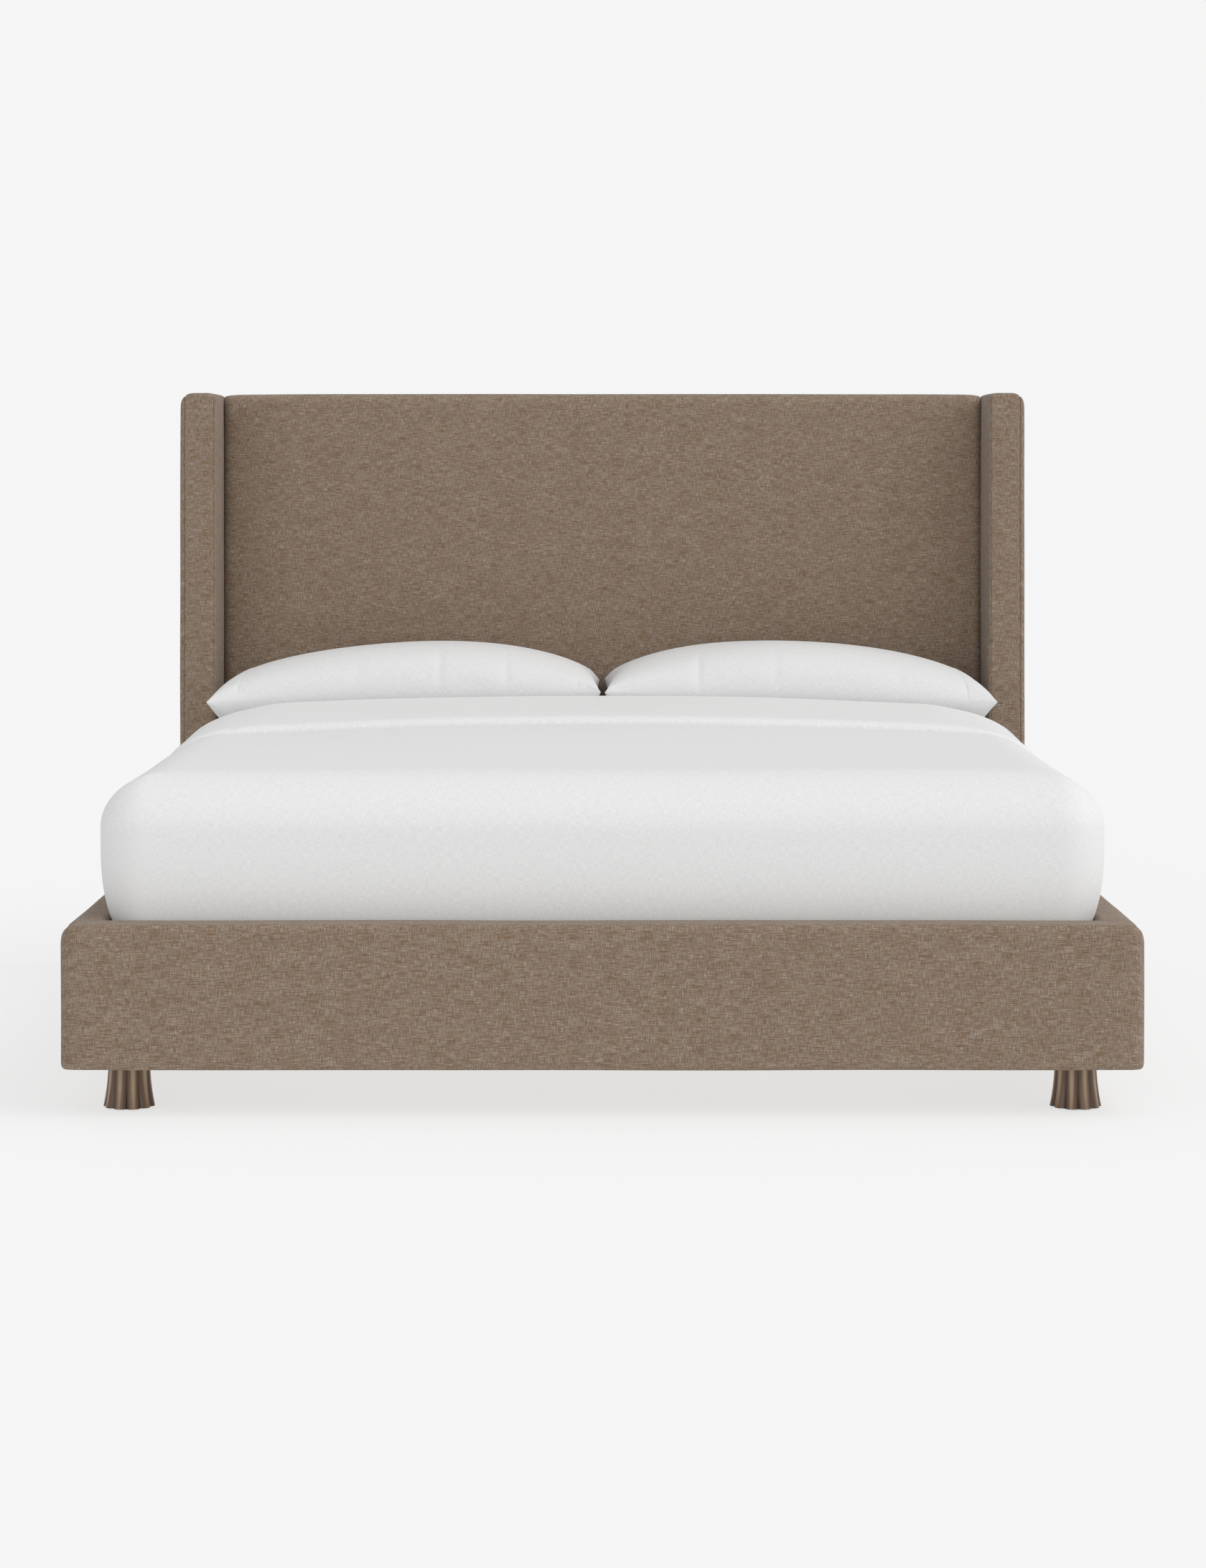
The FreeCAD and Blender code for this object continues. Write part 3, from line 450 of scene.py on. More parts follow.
def padded_block(low, high, axis, radii, low_end, high_end, middle=40, side_steps=24,
                 seams=(), seam_depth=0.0013, cap_rings=8):
    """A stuffed block: a rounded rectangle carried along the x or y axis.

    radii are those of the four long edges, in the order low-low, high-low, high-high and
    low-high of the two cross axes. low_end and high_end give (run, depth) for the four
    sides, low and high of each cross axis, which draw in towards that end. A seam is a
    groove seam_depth * exp(-(s / 1.5 mm) ^ 2) in every side. Returns rows and uv.
    """
    across = [i for i in range(3) if i != "xyz".index(axis)]
    main = "xyz".index(axis)
    length = high[main] - low[main]
    runs = [max(run for run, _ in end) for end in (low_end, high_end)]
    along = stations(length, *runs, middle, seams)
    groove = sum(seam_depth * np.exp(-((along - seam) / 0.0015) ** 2) for seam in seams)
    insets = [drawn_in(along, length, low_end[i], high_end[i]) + groove for i in range(4)]
    a0, a1 = low[across[0]] + insets[0], high[across[0]] - insets[1]
    b0, b1 = low[across[1]] + insets[2], high[across[1]] - insets[3]

    # Four corners in turn: centre, then points from its first side to its second.
    corner_turn = np.linspace(0, math.pi / 2, 7)
    outline = []
    for number, (a, b) in enumerate(((a0, b0), (a1, b0), (a1, b1), (a0, b1))):
        radius = radii[number]
        a_centre = a + radius if number in (0, 3) else a - radius
        b_centre = b + radius if number in (0, 1) else b - radius
        angle = math.pi + number * math.pi / 2 + corner_turn
        outline.append(np.stack([a_centre[:, None] + radius * np.cos(angle),
                                 b_centre[:, None] + radius * np.sin(angle)], axis=-1))
    ring = []
    for number, corner in enumerate(outline):
        following = outline[(number + 1) % 4]
        share = np.linspace(0, 1, side_steps + 1)[1:-1, None]
        side = corner[:, -1:] * (1 - share) + following[:, :1] * share
        ring += [corner, side]
    ring = np.concatenate(ring, axis=1)

    # Close each end with rings that shrink to a point in the end's own plane.
    shrink = np.linspace(0, 1, cap_rings + 1)[:-1, None, None]
    first_middle = ring[0].mean(axis=0)
    last_middle = ring[-1].mean(axis=0)
    first_cap = first_middle + (ring[0] - first_middle) * shrink
    last_cap = last_middle + (ring[-1] - last_middle) * shrink[::-1]
    flat = np.concatenate([first_cap, ring, last_cap])
    station = np.concatenate([np.zeros(cap_rings), along, np.full(cap_rings, length)])
    rows = np.zeros((*flat.shape[:2], 3))
    rows[..., across[0]] = flat[..., 0]
    rows[..., across[1]] = flat[..., 1]
    rows[..., main] = low[main] + station[:, None]

    # The cloth's map: round the block and along it, and flat over each end.
    widest = ring[len(ring) // 2]
    steps = np.linalg.norm(np.diff(np.vstack([widest, widest[:1]]), axis=0), axis=1)
    around = np.concatenate([[0], np.cumsum(steps)])
    around = np.broadcast_to(around, (len(flat), len(around)))
    down = np.broadcast_to(station[:, None], around.shape)
    wrapped = np.concatenate([flat, flat[:, :1]], axis=1)
    uv = corner_pairs(down, around)
    ends = corner_pairs(wrapped[..., 0], wrapped[..., 1])
    uv[:cap_rings] = ends[:cap_rings]
    uv[-cap_rings:] = ends[-cap_rings:]
    return rows, uv


panel_low, panel_high = corners("headboard_cover")
panel_end = [(0.022, 0.020), (0.012, 0.003), (0.006, 0.002), (0.050, 0.006)]
panel_rows, panel_uv = padded_block(
    panel_low, panel_high, "x", (0.005, 0.004, 0.010, 0.025), panel_end, panel_end,
    middle=110, side_steps=60)
panel_rows = crowned(panel_rows, panel_low, panel_high, (0, 0.003, 0.002))
panel_rows = shaken(panel_rows, 0.0009, 0.22, 11)

# Behind, the cloth lies flat against the timber, just inside the backing.
BACKING_CLEARANCE = 0.002
flat_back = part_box("headboard_back_cover")[0].y - BACKING_CLEARANCE
panel_rows[..., 1] = np.minimum(panel_rows[..., 1], flat_back)
panel = cloth_piece("headboard_panel", panel_rows, panel_uv, tweed, "bed_frame")
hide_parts("headboard_cover", "headboard_foam")

# ---------------------------------------------------------------------------
# Back of the headboard. A plain cloth in the same colour, stretched flat over the
# timber frame and stapled round its edge, with the edge turned under.


def plain_backing():
    """Plain woven backing: two sets of waves, one across the other, 4 mm apart.

    Real threads are about 1 mm apart, so the weave is drawn coarser than it is.
    """
    made, tree = new_material("plain_weave_backing")
    own = add(tree, "ShaderNodeUVMap", uv_map="cloth")
    lines = [add(tree, "ShaderNodeTexWave",
                 {"Vector": own.outputs[0], "Scale": 80.0, "Distortion": 1.5, "Detail": 2.0,
                  "Detail Scale": 3.0}, bands_direction=direction)
             for direction in ("X", "Y")]
    weave = add(tree, "ShaderNodeMath",
                {0: lines[0].outputs["Fac"], 1: lines[1].outputs["Fac"]}, operation="MULTIPLY")
    tone = add(tree, "ShaderNodeValToRGB", {"Fac": weave.outputs[0]})
    tone.color_ramp.elements[0].color = linear("6F6053")
    tone.color_ramp.elements[1].color = linear("897967")
    relief = add(tree, "ShaderNodeBump",
                 {"Height": weave.outputs[0], "Strength": 0.35, "Distance": 0.0006})
    cloth = add(tree, "ShaderNodeBsdfPrincipled",
                {"Base Color": tone.outputs[0], "Roughness": 0.95, "IOR": 1.45,
                 "Specular IOR Level": 0.2, "Normal": relief.outputs[0]})
    add(tree, "ShaderNodeOutputMaterial", {"Surface": cloth.outputs[0]})
    return made


BACKING_THICKNESS = 0.0016
TURNED_EDGE = 0.004
TOP_EDGE = 0.010
back_low, back_high = corners("headboard_back_cover")
back_x, back_z = np.meshgrid(
    np.linspace(back_low[0] + TURNED_EDGE, back_high[0] - TURNED_EDGE, 120),
    np.linspace(back_low[2] + TURNED_EDGE, back_high[2] - TOP_EDGE, 90))
middle_y = back_high[1] - BACKING_THICKNESS / 2
back_rows = np.stack([back_x, np.full_like(back_x, middle_y), back_z], axis=-1)
back_rows[..., 1] = shaken(back_rows, 0.0006, 0.25, 5)[..., 1]
backing = cloth_piece("headboard_backing", back_rows, corner_pairs(back_x, back_z),
                      plain_backing(), "bed_frame", round_rows=False)
backing_wall = backing.modifiers.new("wall", "SOLIDIFY")
backing_wall.thickness = BACKING_THICKNESS
backing_wall.offset = 0
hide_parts("headboard_back_cover")

# ---------------------------------------------------------------------------
# Wings. Each is a padded upright board. A strip of tweed runs up its front and over its
# top, joined to the side panels by two top-stitched seams close to the edges.

OUTER_SEAM = 0.0115
INNER_SEAM = 0.0040
STITCH_PITCH = 0.0065
STITCH_LENGTH = 0.0048
STITCH_RADIUS = 0.00045
STITCH_START = 0.012
TIP_SHARE = 0.15


def stitch_row(path):
    """Thread stitches laid along a path of points: six-sided spindles, end to end.

    Stitch k is centred at k * pitch along the path. It has the thread's radius between
    a fifth and four fifths of its length, and narrows to TIP_SHARE of that at its tips.
    """
    steps = np.linalg.norm(np.diff(path, axis=0), axis=1)
    reach = np.concatenate([[0], np.cumsum(steps)])
    centres = np.arange(STITCH_PITCH, reach[-1] - STITCH_PITCH, STITCH_PITCH)
    share = np.array([0.0, 0.2, 0.8, 1.0])
    places = centres[:, None] + (share - 0.5) * STITCH_LENGTH
    line = np.stack([np.interp(places, reach, path[:, i]) for i in range(3)], axis=-1)
    width = STITCH_RADIUS * np.array([TIP_SHARE, 1.0, 1.0, TIP_SHARE])
    tangent = line[:, -1:] - line[:, :1]
    tangent /= np.linalg.norm(tangent, axis=-1, keepdims=True)
    sideways = np.array([1.0, 0.0, 0.0])
    out = np.cross(tangent, sideways)
    angle = np.linspace(0, 2 * math.pi, 7)[:-1]
    ring = (np.cos(angle)[:, None] * sideways
            + np.sin(angle)[:, None] * out[:, :, None])
    return line[:, :, None] + ring * width[:, None, None]


def spindle_mesh(name, spindles, material, body):
    """One mesh from many spindles of four rings of six points each."""
    count = len(spindles)
    ring = np.arange(6)
    faces = []
    for step in range(3):
        faces.append(np.stack([step * 6 + ring, step * 6 + (ring + 1) % 6,
                               (step + 1) * 6 + (ring + 1) % 6, (step + 1) * 6 + ring], axis=-1))
    faces = np.concatenate(faces)
    every = (faces[None] + 24 * np.arange(count)[:, None, None]).reshape(-1, 4).tolist()
    caps = np.stack([ring[::-1], 18 + ring])
    every += (caps[None] + 24 * np.arange(count)[:, None, None]).reshape(-1, 6).tolist()
    mesh = bpy.data.meshes.new(name)
    mesh.from_pydata(spindles.reshape(-1, 3), [], every)
    work = bmesh.new()
    work.from_mesh(mesh)
    bmesh.ops.recalc_face_normals(work, faces=work.faces)
    work.to_mesh(mesh)
    work.free()
    mesh.materials.append(material)
    return placed(name, mesh, body)


def sewing_thread():
    """Bonded polyester thread, a shade darker than the tweed, with a slight gloss."""
    made, tree = new_material("sewing_thread")
    place = add(tree, "ShaderNodeTexCoord")
    twist = add(tree, "ShaderNodeTexNoise",
                {"Vector": place.outputs["Object"], "Scale": 1200.0, "Detail": 1.0})
    tone = add(tree, "ShaderNodeValToRGB", {"Fac": twist.outputs[0]})
    tone.color_ramp.elements[0].color = linear("6A5847")
    tone.color_ramp.elements[1].color = linear("8D7A66")
    thread = add(tree, "ShaderNodeBsdfPrincipled",
                 {"Base Color": tone.outputs[0], "Roughness": 0.55, "IOR": 1.5})
    add(tree, "ShaderNodeOutputMaterial", {"Surface": thread.outputs[0]})
    return made


wing_low, wing_high = corners("right_wing_cover")
wing_inner_end = [(0.006, 0.005), (0.008, 0.006), (0.006, 0.004), (0.020, 0.018)]
wing_outer_end = [(0.012, 0.011), (0.010, 0.008), (0.006, 0.006), (0.032, 0.030)]
wing_width = wing_high[0] - wing_low[0]
wing_seams = (INNER_SEAM, wing_width - OUTER_SEAM)
thread_material = sewing_thread()
stitches = []
for side, flip in (("right", 1), ("left", -1)):
    rows, uv = padded_block(wing_low, wing_high, "x", (0.006, 0.006, 0.014, 0.012),
                            wing_inner_end, wing_outer_end, middle=14, side_steps=60,
                            seams=wing_seams, seam_depth=0.0028)
    rows = crowned(rows, wing_low, wing_high, (0.0025, 0.001, 0.001))
    rows = shaken(rows, 0.0007, 0.18, 23 if flip > 0 else 29)
    for seam in wing_seams:
        column = np.abs(rows[:, 0, 0] - (wing_low[0] + seam)).argmin()
        path = rows[column]
        upper = path[:, 2] > wing_low[2] + STITCH_START
        start = int(np.argmax(~upper))
        thread = stitch_row(np.roll(path, -start, axis=0)[np.roll(upper, -start)])
        thread[..., 0] *= flip
        stitches.append(thread)
    rows[..., 0] *= flip
    wing = cloth_piece(f"{side}_wing_upholstery", rows, uv, tweed, "bed_frame")
    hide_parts(f"{side}_wing_cover", f"{side}_wing_foam")
spindle_mesh("wing_top_stitching", np.concatenate(stitches), thread_material, "bed_frame")

# ---------------------------------------------------------------------------
# Side rails and footboard. Boards padded outside and on top, in tweed sleeves. The
# footboard's own ends turn the corners, and the rails butt against its back.

butt = [(0.004, 0.0015)] * 4
rail_low, rail_high = corners("right_rail_cover")
for side, flip in (("right", 1), ("left", -1)):
    rows, uv = padded_block(rail_low, rail_high, "y", (0.004, 0.009, 0.031, 0.015), butt, butt,
                            middle=100, side_steps=16)
    rows = crowned(rows, rail_low, rail_high, (0.002, 0, 0.001))
    rows = shaken(rows, 0.0008, 0.20, 31 if flip > 0 else 37)
    rows[..., 0] *= flip
    rail = cloth_piece(f"{side}_rail_upholstery", rows, uv, tweed, "bed_frame")
    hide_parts(f"{side}_rail_cover", f"{side}_rail_foam")

foot_low, foot_high = corners("footboard_cover")
foot_end = [(0.030, 0.030), (0.004, 0.0015), (0.010, 0.008), (0.036, 0.033)]
rows, uv = padded_block(foot_low, foot_high, "x", (0.009, 0.004, 0.008, 0.015),
                        foot_end, foot_end, middle=120, side_steps=20)
rows = crowned(rows, foot_low, foot_high, (0, 0.002, 0.001))
rows = shaken(rows, 0.0009, 0.20, 41)
footboard = cloth_piece("footboard_upholstery", rows, uv, tweed, "bed_frame")
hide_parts("footboard_cover", "footboard_foam")

# ---------------------------------------------------------------------------
# Legs. Turned and reeded hardwood, stained dark brown and lacquered. Painted shade lies dark
# between the reeds, and a painted highlight makes a paler line along each crest.


def stained_wood_painted_light(name, middle):
    """Dark stained hardwood under a smooth lacquer, for a leg whose axis is at middle.

    The tone follows how squarely the surface faces away from the leg's axis, which is 1
    on a reed's crest: painted shade, dark towards the valleys between the reeds, and a
    painted highlight, pale along each crest. The faint grain is a noise 2 mm wide and 60 mm long.
    """
    made, tree = new_material(f"dark_stained_hardwood_painted_light_{name}")
    place = add(tree, "ShaderNodeTexCoord")
    surface = add(tree, "ShaderNodeNewGeometry")
    away = add(tree, "ShaderNodeVectorMath", {0: place.outputs["Object"], 1: middle},
               operation="SUBTRACT")
    level = add(tree, "ShaderNodeVectorMath", {0: away.outputs[0], 1: (1.0, 1.0, 0.0)},
                operation="MULTIPLY")
    radial = add(tree, "ShaderNodeVectorMath", {0: level.outputs[0]}, operation="NORMALIZE")
    crest = add(tree, "ShaderNodeVectorMath", {0: radial.outputs[0], 1: surface.outputs["Normal"]},
                operation="DOT_PRODUCT")
    # Painted light: the ramp puts painted shade in the valleys between the reeds and a painted
    # highlight along each crest.
    stain_with_painted_light = add(tree, "ShaderNodeValToRGB", {"Fac": crest.outputs["Value"]})
    stain_with_painted_light.color_ramp.elements[0].color = linear("251709")
    stain_with_painted_light.color_ramp.elements[0].position = 0.60
    stain_with_painted_light.color_ramp.elements[1].color = linear("AC957A")
    stain_with_painted_light.color_ramp.elements.new(0.86).color = linear("4A3119")
    stain_with_painted_light.color_ramp.elements.new(0.965).color = linear("68492A")
    grain_space = add(tree, "ShaderNodeMapping",
                      {"Vector": place.outputs["Object"], "Scale": (500.0, 500.0, 16.0)})
    grain = add(tree, "ShaderNodeTexNoise",
                {"Vector": grain_space.outputs[0], "Scale": 1.0, "Detail": 3.0})
    faint = add(tree, "ShaderNodeMapRange", {"Value": grain.outputs[0], "To Min": 0.80,
                                             "To Max": 1.20})
    grained = add(tree, "ShaderNodeVectorMath", {0: stain_with_painted_light.outputs[0], "Scale": faint.outputs[0]},
                  operation="SCALE")
    wood = add(tree, "ShaderNodeBsdfPrincipled",
               {"Base Color": grained.outputs[0], "Roughness": 0.40, "IOR": 1.5,
                "Coat Weight": 0.35, "Coat Roughness": 0.10})
    add(tree, "ShaderNodeOutputMaterial", {"Surface": wood.outputs[0]})
    return made


for leg in ("front_left_leg", "front_right_leg", "rear_left_leg", "rear_right_leg"):
    foot_corner, top_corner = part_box(leg)
    finish_nodes(stained_wood_painted_light(leg, (foot_corner + top_corner) / 2), leg)

# ---------------------------------------------------------------------------
# Mattress. A deep sprung mattress in a white fitted sheet, which is pulled smooth over
# the top and gathered under the edge.


def white_linen(name, shadow, light):
    """Washed white linen: a fine plain weave whose threads are drawn 1.5 mm wide.

    The two sets of threads are noises 1.5 mm by 12 mm. They only just show in the
    colour, and give the surface its slight tooth.
    """
    made, tree = new_material(name)
    own = add(tree, "ShaderNodeUVMap", uv_map="cloth")
    sets = []
    for number, scale in enumerate(((670.0, 80.0, 1.0), (80.0, 670.0, 1.0))):
        spread = add(tree, "ShaderNodeMapping",
                     {"Vector": own.outputs[0], "Location": (number * 7.3, 0.0, 0.0),
                      "Scale": scale})
        sets.append(add(tree, "ShaderNodeTexNoise",
                        {"Vector": spread.outputs[0], "Scale": 1.0, "Detail": 2.0},
                        noise_dimensions="2D"))
    weave = add(tree, "ShaderNodeMath",
                {0: sets[0].outputs[0], 1: sets[1].outputs[0]}, operation="MULTIPLY")
    tone = add(tree, "ShaderNodeValToRGB", {"Fac": weave.outputs[0]})
    tone.color_ramp.elements[0].color = linear(shadow)
    tone.color_ramp.elements[0].position = 0.1
    tone.color_ramp.elements[1].color = linear(light)
    tone.color_ramp.elements[1].position = 0.45
    relief = add(tree, "ShaderNodeBump",
                 {"Height": weave.outputs[0], "Strength": 0.10, "Distance": 0.0003})
    cloth = add(tree, "ShaderNodeBsdfPrincipled",
                {"Base Color": tone.outputs[0], "Roughness": 0.90, "IOR": 1.45,
                 "Specular IOR Level": 0.2, "Sheen Weight": 0.05, "Sheen Roughness": 0.5,
                 "Normal": relief.outputs[0]})
    add(tree, "ShaderNodeOutputMaterial", {"Surface": cloth.outputs[0]})
    return made


sheeting = white_linen("fitted_sheet_cotton", "D9D9D9", "E7E7E7")
bed_low, bed_high = corners("mattress")
bed_end = [(0.060, 0.058), (0.060, 0.058), (0.020, 0.018), (0.045, 0.043)]
rows, uv = padded_block(bed_low, bed_high, "y", (0.020, 0.020, 0.045, 0.045), bed_end, bed_end,
                        middle=60, side_steps=40)
rows = shaken(rows, 0.0008, 0.25, 43)
mattress = cloth_piece("mattress_in_fitted_sheet", rows, uv, sheeting, "mattress")
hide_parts("mattress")

# ---------------------------------------------------------------------------
# Coverlet. A soft white duvet lies smooth over the mattress, rounds its edges in a full
# roll, and is tucked down inside the rails and the footboard. It is one closed form,
# with the mattress's shape pressed into its underside.

linen = white_linen("washed_white_linen", "DDDDDD", "EBEBEB")
cover_low, cover_high = corners("coverlet")
FOOT_BULGE = 0.006
HALF_WIDTH = 1.000
SIDE_TUCK = 0.0255
FOOT_TUCK = 0.008
FOOT_LINE = cover_low[1] - FOOT_BULGE
HEAD_LINE = cover_high[1]
ROLL_WIDTH = 0.140
ROLL_DROP = 0.110
CORNER_RADIUS = 0.095
BELLY_LEVEL = 0.530
TUCK_LEVEL = 0.358
SHOULDER = 0.660
CROWN = 0.026
CROWN_HALF = 0.950
CROWN_RUN = 0.9
LINING_GAP = 0.0025
LINING_RADIUS = 0.047
LINING_CORNER = 0.058
SOFTNESS = 0.0020
SOFT_LENGTH = 0.35


def roll_profile(half, top, width, drop):
    """An outline from the hem up, round a roll and in over the top.

    Returns how far in each point stands from the widest line, and its height. Up the
    side it is 0. The roll is a quarter of an ellipse, width across and drop high, and
    the top runs level to the middle.
    """
    up = np.linspace(cover_low[2], top - drop, 26)[:-1]
    turn = np.linspace(0, math.pi / 2, 22)[:-1]
    over = np.linspace(width, half, 46)
    inward = np.concatenate([0 * up, width * (1 - np.cos(turn)), over])
    height = np.concatenate([up, top - drop * (1 - np.sin(turn)), top + 0 * over])
    return inward, height


def tuck(height):
    """From 0 at the belly's level to 1 at TUCK_LEVEL, by the cube of the fall."""
    return np.clip((BELLY_LEVEL - height) / (BELLY_LEVEL - TUCK_LEVEL), 0, 1) ** 3


def crown(x, y):
    """The rise of the top: CROWN * (1 - (x / CROWN_HALF) ^ 2) ^ 1.3.

    It grows from nothing at the foot to its full height CROWN_RUN further up the bed,
    by half of (1 - cos(pi * share)).
    """
    across = np.clip(1 - (x / CROWN_HALF) ** 2, 0, 1) ** 1.3
    lengthways = np.clip((y - FOOT_LINE) / CROWN_RUN, 0, 1)
    return CROWN * across * (1 - np.cos(math.pi * lengthways)) / 2


def u_rings(inward, half, foot, corner):
    """Rings like a U: down the left side, round the foot and up the right side.

    inward is a column of distances that each ring stands inside the outermost, whose
    half width, foot line and corner radius are given. Returns x, y and the outward
    direction of each place on a ring.
    """
    side_share = np.linspace(0, 1, 81)[:-1]
    foot_share = np.linspace(-1, 1, 91)
    turn = np.linspace(0, math.pi / 2, 15)[1:-1]
    inward = np.asarray(inward)[:, None]
    half, foot = half - inward, foot + inward
    corner = np.maximum(corner - inward, 0)
    side_y = HEAD_LINE + (foot + corner - HEAD_LINE) * side_share
    side_x = half + 0 * side_y
    arc_x = half - corner + corner * np.cos(turn)
    arc_y = foot + corner - corner * np.sin(turn)
    foot_x = (half - corner) * foot_share
    foot_y = foot + 0 * foot_x
    x = np.concatenate([-side_x, -arc_x, foot_x, arc_x[:, ::-1], side_x[:, ::-1]], axis=1)
    y = np.concatenate([side_y, arc_y, foot_y, arc_y[:, ::-1], side_y[:, ::-1]], axis=1)
    out_x = np.concatenate([-np.ones(80), -np.cos(turn), np.zeros(91), np.cos(turn)[::-1],
                            np.ones(80)])
    out_y = np.concatenate([np.zeros(80), -np.sin(turn), -np.ones(91), -np.sin(turn)[::-1],
                            np.zeros(80)])
    return x, y, out_x, out_y


inward, height = roll_profile(HALF_WIDTH, SHOULDER, ROLL_WIDTH, ROLL_DROP)
x, y, out_x, out_y = u_rings(inward, HALF_WIDTH, FOOT_LINE, CORNER_RADIUS)
tucked = tuck(height)[:, None]
x = x - out_x * tucked * SIDE_TUCK
y = y - out_y * tucked * FOOT_TUCK
z = height[:, None] + crown(x, y)
outer = shaken(np.stack([x, y, z], axis=-1), SOFTNESS, SOFT_LENGTH, 47)

# The underside follows the mattress, LINING_GAP clear of its sides and top.
lining_half = bed_high[0] + LINING_GAP
lining_inward, lining_height = roll_profile(lining_half, bed_high[2] + LINING_GAP,
                                            LINING_RADIUS, LINING_RADIUS)
lining_x, lining_y, _, _ = u_rings(lining_inward, lining_half, bed_low[1] - LINING_GAP,
                                   LINING_CORNER)
lining_z = lining_height[:, None] + 0 * lining_x
inner = np.stack([lining_x, lining_y, lining_z], axis=-1)

# Each place along the U is a closed section: up the outside and back along the lining.
sections = np.concatenate([outer, inner[::-1]]).transpose(1, 0, 2)
fold_over = (sections + sections[:, ::-1]) / 2
rows = np.concatenate([fold_over[:1], sections, fold_over[-1:]])
step = np.hypot(np.diff(inward), np.diff(height))
extra = np.concatenate([[0], np.cumsum((step - np.diff(inward))[::-1])])[::-1]
u = outer[..., 0] + out_x * extra[:, None]
v = outer[..., 1] + out_y * extra[:, None]
spread = [np.concatenate([part, part[::-1]]).T for part in (u, v)]
spread = [np.concatenate([part[:1], part, part[-1:]]) for part in spread]
spread = [np.concatenate([part, part[:, :1]], axis=1) for part in spread]
coverlet = cloth_piece("coverlet_duvet", rows, corner_pairs(*spread), linen, "coverlet")
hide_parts("coverlet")

# Turn-down: the duvet's head end folded back on itself, thick at its fold and thin at
# its hem, and shaped to the duvet under it.
FOLD_RISE = 0.039
HEM_RISE = 0.015
FOLD_WIDTH = 0.465
FOLD_ROUND = 0.034
HEM_ROUND = 0.032
FOLD_SINK = 0.004
FOLD_HEM = 0.020
FOLD_FLAT = 0.76
FOLD_THIN = 0.93
SIDE_SHARE = 0.45


def fold_loop():
    """The turn-down's section: distance along the bed and height above the duvet.

    The top falls evenly from the fold to the hem. Within FOLD_ROUND of the fold and
    HEM_ROUND of the hem it is times sqrt(1 - (1 - s / round) ^ 2). The underside lies
    FOLD_SINK below the duvet's surface.
    """
    share = (1 - np.cos(np.linspace(0, math.pi, 46))) / 2
    back = FOLD_WIDTH * share
    near_fold = np.clip(1 - back / FOLD_ROUND, 0, 1)
    near_hem = np.clip(1 - (FOLD_WIDTH - back) / HEM_ROUND, 0, 1)
    rounded = np.sqrt((1 - near_fold ** 2) * (1 - near_hem ** 2))
    top = (FOLD_RISE + (HEM_RISE - FOLD_RISE) * share) * rounded
    along = np.concatenate([HEAD_LINE - back, HEAD_LINE - back[-2:0:-1]])
    rise = np.concatenate([top, np.full(len(back) - 2, -FOLD_SINK)])
    return along, rise


along, rise = fold_loop()
keep = height > rail_high[2] + FOLD_HEM
path_x = inward[keep] - HALF_WIDTH + tuck(height[keep]) * SIDE_TUCK
path_z = height[keep] + crown(path_x, HEAD_LINE)
path = np.stack([np.concatenate([path_x, -path_x[-2::-1]]),
                 np.concatenate([path_z, path_z[-2::-1]])], axis=-1)
tangent = np.gradient(path, axis=0)
tangent /= np.linalg.norm(tangent, axis=1, keepdims=True)
outward = np.stack([-tangent[:, 1], tangent[:, 0]], axis=-1)

# It is full between FOLD_FLAT each side of the middle, and eases to SIDE_SHARE beyond.
ease = np.clip((np.abs(path[:, 0]) - FOLD_FLAT) / (FOLD_THIN - FOLD_FLAT), 0, 1)
thinning = 1 - (1 - SIDE_SHARE) * (1 - np.cos(math.pi * ease)) / 2
thinning = thinning[:, None, None]
lifted = path[:, None] + outward[:, None] * rise[None, :, None] * thinning
rows = np.stack([lifted[..., 0], np.broadcast_to(along, lifted.shape[:2]), lifted[..., 1]],
                axis=-1)
ends = [row.mean(axis=0) + (row - row.mean(axis=0)) * np.linspace(0, 1, 4)[:-1, None, None]
        for row in (rows[0], rows[-1])]
rows = np.concatenate([ends[0], rows, ends[1][::-1]])
rows = shaken(rows, SOFTNESS, SOFT_LENGTH, 47)
reach = np.concatenate([[0], np.cumsum(np.linalg.norm(np.diff(path, axis=0), axis=1))])
down = np.concatenate([[0] * 3, reach, [reach[-1]] * 3])[:, None]
around = np.concatenate([along, along[:1]])[None, :]
around, down = np.broadcast_arrays(around, down)
turn_down = cloth_piece("coverlet_turn_down", rows, corner_pairs(down, around), linen,
                        "coverlet")

# ---------------------------------------------------------------------------
# Pillows. Two king pillows in plain linen cases, plump in the middle and thin at their
# seams, with corners that stand out a little and a hem near the open end.

PLUMPNESS = 0.52
PEAK_SHIFT = 0.14
SEAM_LEVEL = 0.078
MIDDLE_LIFT = 0.022
HEM_BAND = 0.075
HEM_STEP = 0.0012
SHORT_EDGE_PULL = 0.022
LONG_EDGE_PULL = 0.045
DENT_DEPTH = 0.0014
DENT_WIDTH = 0.007
SLACK = 0.02
SETTLE_FRAMES = 20
SETTLE_CAP = 0.006


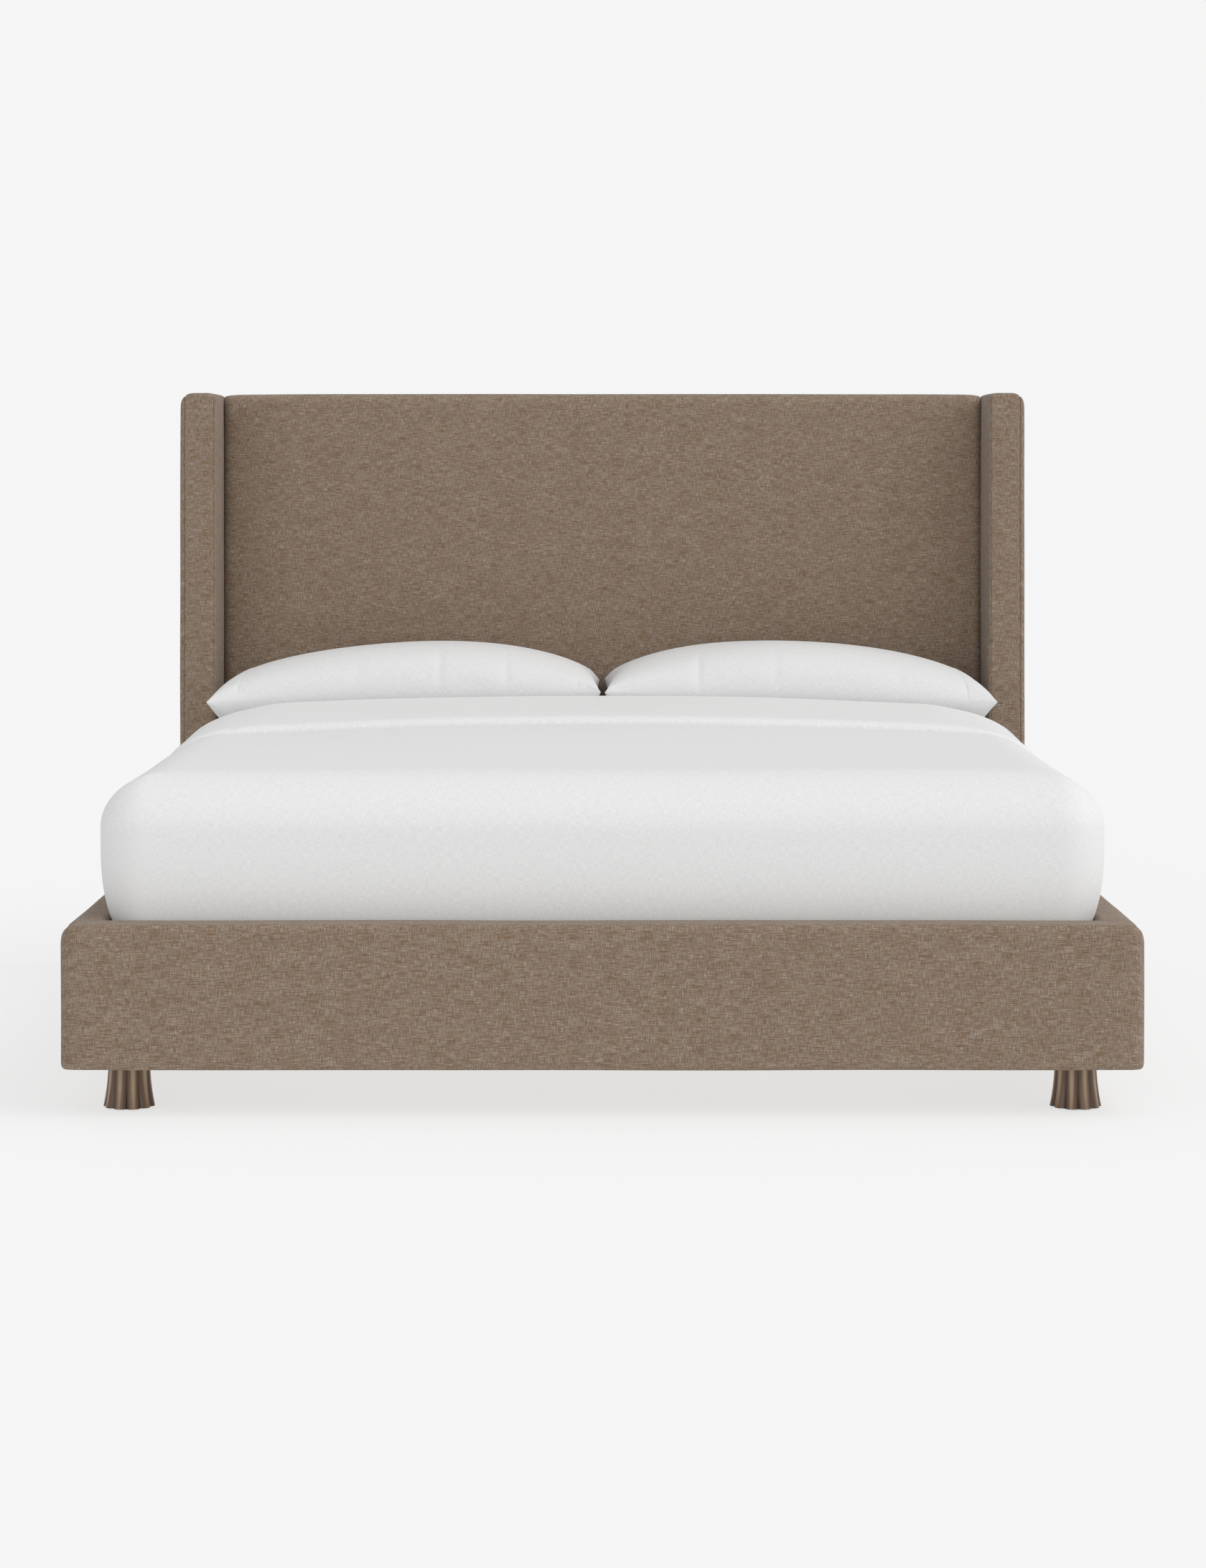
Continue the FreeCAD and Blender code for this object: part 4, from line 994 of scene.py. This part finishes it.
def pillow_rows(low, high, seed, open_end, dents):
    """A pillow as a grid over u and v from -1 to 1, top and bottom sheets together.

    The half height is (1 - w ^ 2) ^ PLUMPNESS * (1 - |v| ^ 2.6) ^ 0.5, where w is u
    shifted by PEAK_SHIFT * (1 - u ^ 2), so that the peak is nearer the bed's middle. The
    seam rises by MIDDLE_LIFT towards the other pillow. The edges pull in by a share of
    (1 - u ^ 2) or (1 - v ^ 2), which leaves the corners standing out, and the bottom is
    flat except near its edge. The hem band at the open end stands HEM_STEP proud, and
    each dent is a groove DENT_DEPTH * exp(-(s / DENT_WIDTH) ^ 2) down the front.
    """
    across = np.sin(np.linspace(-math.pi / 2, math.pi / 2, 181))
    deep = np.sin(np.linspace(-math.pi / 2, math.pi / 2, 81))
    middle = (low + high) / 2
    half = (high - low) / 2
    hem = open_end * (1 - HEM_BAND / half[0])
    across = np.sort(np.concatenate([across, hem + np.array([-0.004, -0.002, 0, 0.002])]))
    u, v = np.meshgrid(across, deep, indexing="ij")
    shifted = u + open_end * PEAK_SHIFT * (1 - u ** 2)
    lift = np.clip(1 - shifted ** 2, 0, 1) ** PLUMPNESS * (1 - np.abs(v) ** 2.6) ** 0.5
    x = middle[0] + half[0] * u * (1 - SHORT_EDGE_PULL * (1 - v ** 2))
    y = middle[1] + half[1] * v * (1 - LONG_EDGE_PULL * (1 - u ** 2))
    seam = low[2] + SEAM_LEVEL + MIDDLE_LIFT * ((1 - open_end * u) / 2) ** 3
    band = np.clip(((u - hem) * open_end) / 0.003, 0, 1)
    top = seam + (high[2] - seam) * lift + HEM_STEP * band * (lift > 0)
    front = np.clip((-v - 0.45) / 0.25, 0, 1) * np.clip((1 - np.abs(v)) / 0.05, 0, 1)
    for dent in dents:
        away = (u - dent) * half[0] / DENT_WIDTH
        top -= DENT_DEPTH * np.exp(-away ** 2) * front
        y += DENT_DEPTH * np.exp(-away ** 2) * front
    under = seam - (seam - low[2]) * np.minimum(1, 3 * lift)
    upper = np.stack([x, y, top], axis=-1)
    lower = np.stack([x, y, under], axis=-1)[:, ::-1]
    return shaken(np.concatenate([upper, lower[:, 1:-1]], axis=1), 0.0035, 0.30, seed)


def plumped(piece):
    """Let the cloth settle over its filling: its cloth is SLACK larger than its shape.

    Pressure holds it out and gravity is off. No point ends more than SETTLE_CAP from
    where it started: a move m is eased to SETTLE_CAP * tanh(m / SETTLE_CAP).
    """
    start = np.empty(len(piece.data.vertices) * 3)
    piece.data.vertices.foreach_get("co", start)
    start = start.reshape(-1, 3)
    settle = piece.modifiers.new("settle", "CLOTH")
    cloth = settle.settings
    cloth.quality = 6
    cloth.mass = 0.25
    cloth.tension_stiffness = 25
    cloth.compression_stiffness = 25
    cloth.shear_stiffness = 12
    cloth.bending_stiffness = 0.6
    cloth.use_pressure = True
    cloth.uniform_pressure_force = 4
    cloth.shrink_min = -SLACK
    cloth.effector_weights.gravity = 0
    scene = bpy.context.scene
    for number in range(1, SETTLE_FRAMES + 1):
        scene.frame_set(number)
    solved = piece.evaluated_get(bpy.context.evaluated_depsgraph_get()).data
    flat = np.empty(start.size)
    solved.vertices.foreach_get("co", flat)
    moved = flat.reshape(-1, 3) - start
    far = np.linalg.norm(moved, axis=1, keepdims=True)
    moved *= SETTLE_CAP * np.tanh(far / SETTLE_CAP) / np.maximum(far, 1e-9)
    piece.modifiers.clear()
    piece.data.vertices.foreach_set("co", (start + moved).ravel())
    piece.data.update()
    scene.frame_set(1)


# The pillowcases use a slightly darker copy of the duvet's white linen: painted shade over the
# whole pillow.
pillow_linen_painted_shade = white_linen("pillowcase_linen_painted_shade", "D8D8D8", "E6E6E6")
for side, flip, seed, dents in (("left", -1, 61, (0.18, 0.52)), ("right", 1, 67, (-0.52, -0.12))):
    low, high = corners(f"pillow_{side}")
    rows = pillow_rows(low, high, seed, flip, dents)
    steps = np.linalg.norm(np.diff(rows[90], axis=0), axis=1)
    around = np.concatenate([[0], np.cumsum(steps), [steps.sum() + 0.01]])
    around = np.broadcast_to(around, (len(rows), len(around)))
    down = np.broadcast_to(rows[:, :1, 0], around.shape)
    pillow = cloth_piece(f"{side}_pillow_case", rows, corner_pairs(around, down),
                         pillow_linen_painted_shade, f"pillow_{side}")
    plumped(pillow)
    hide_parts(f"pillow_{side}")
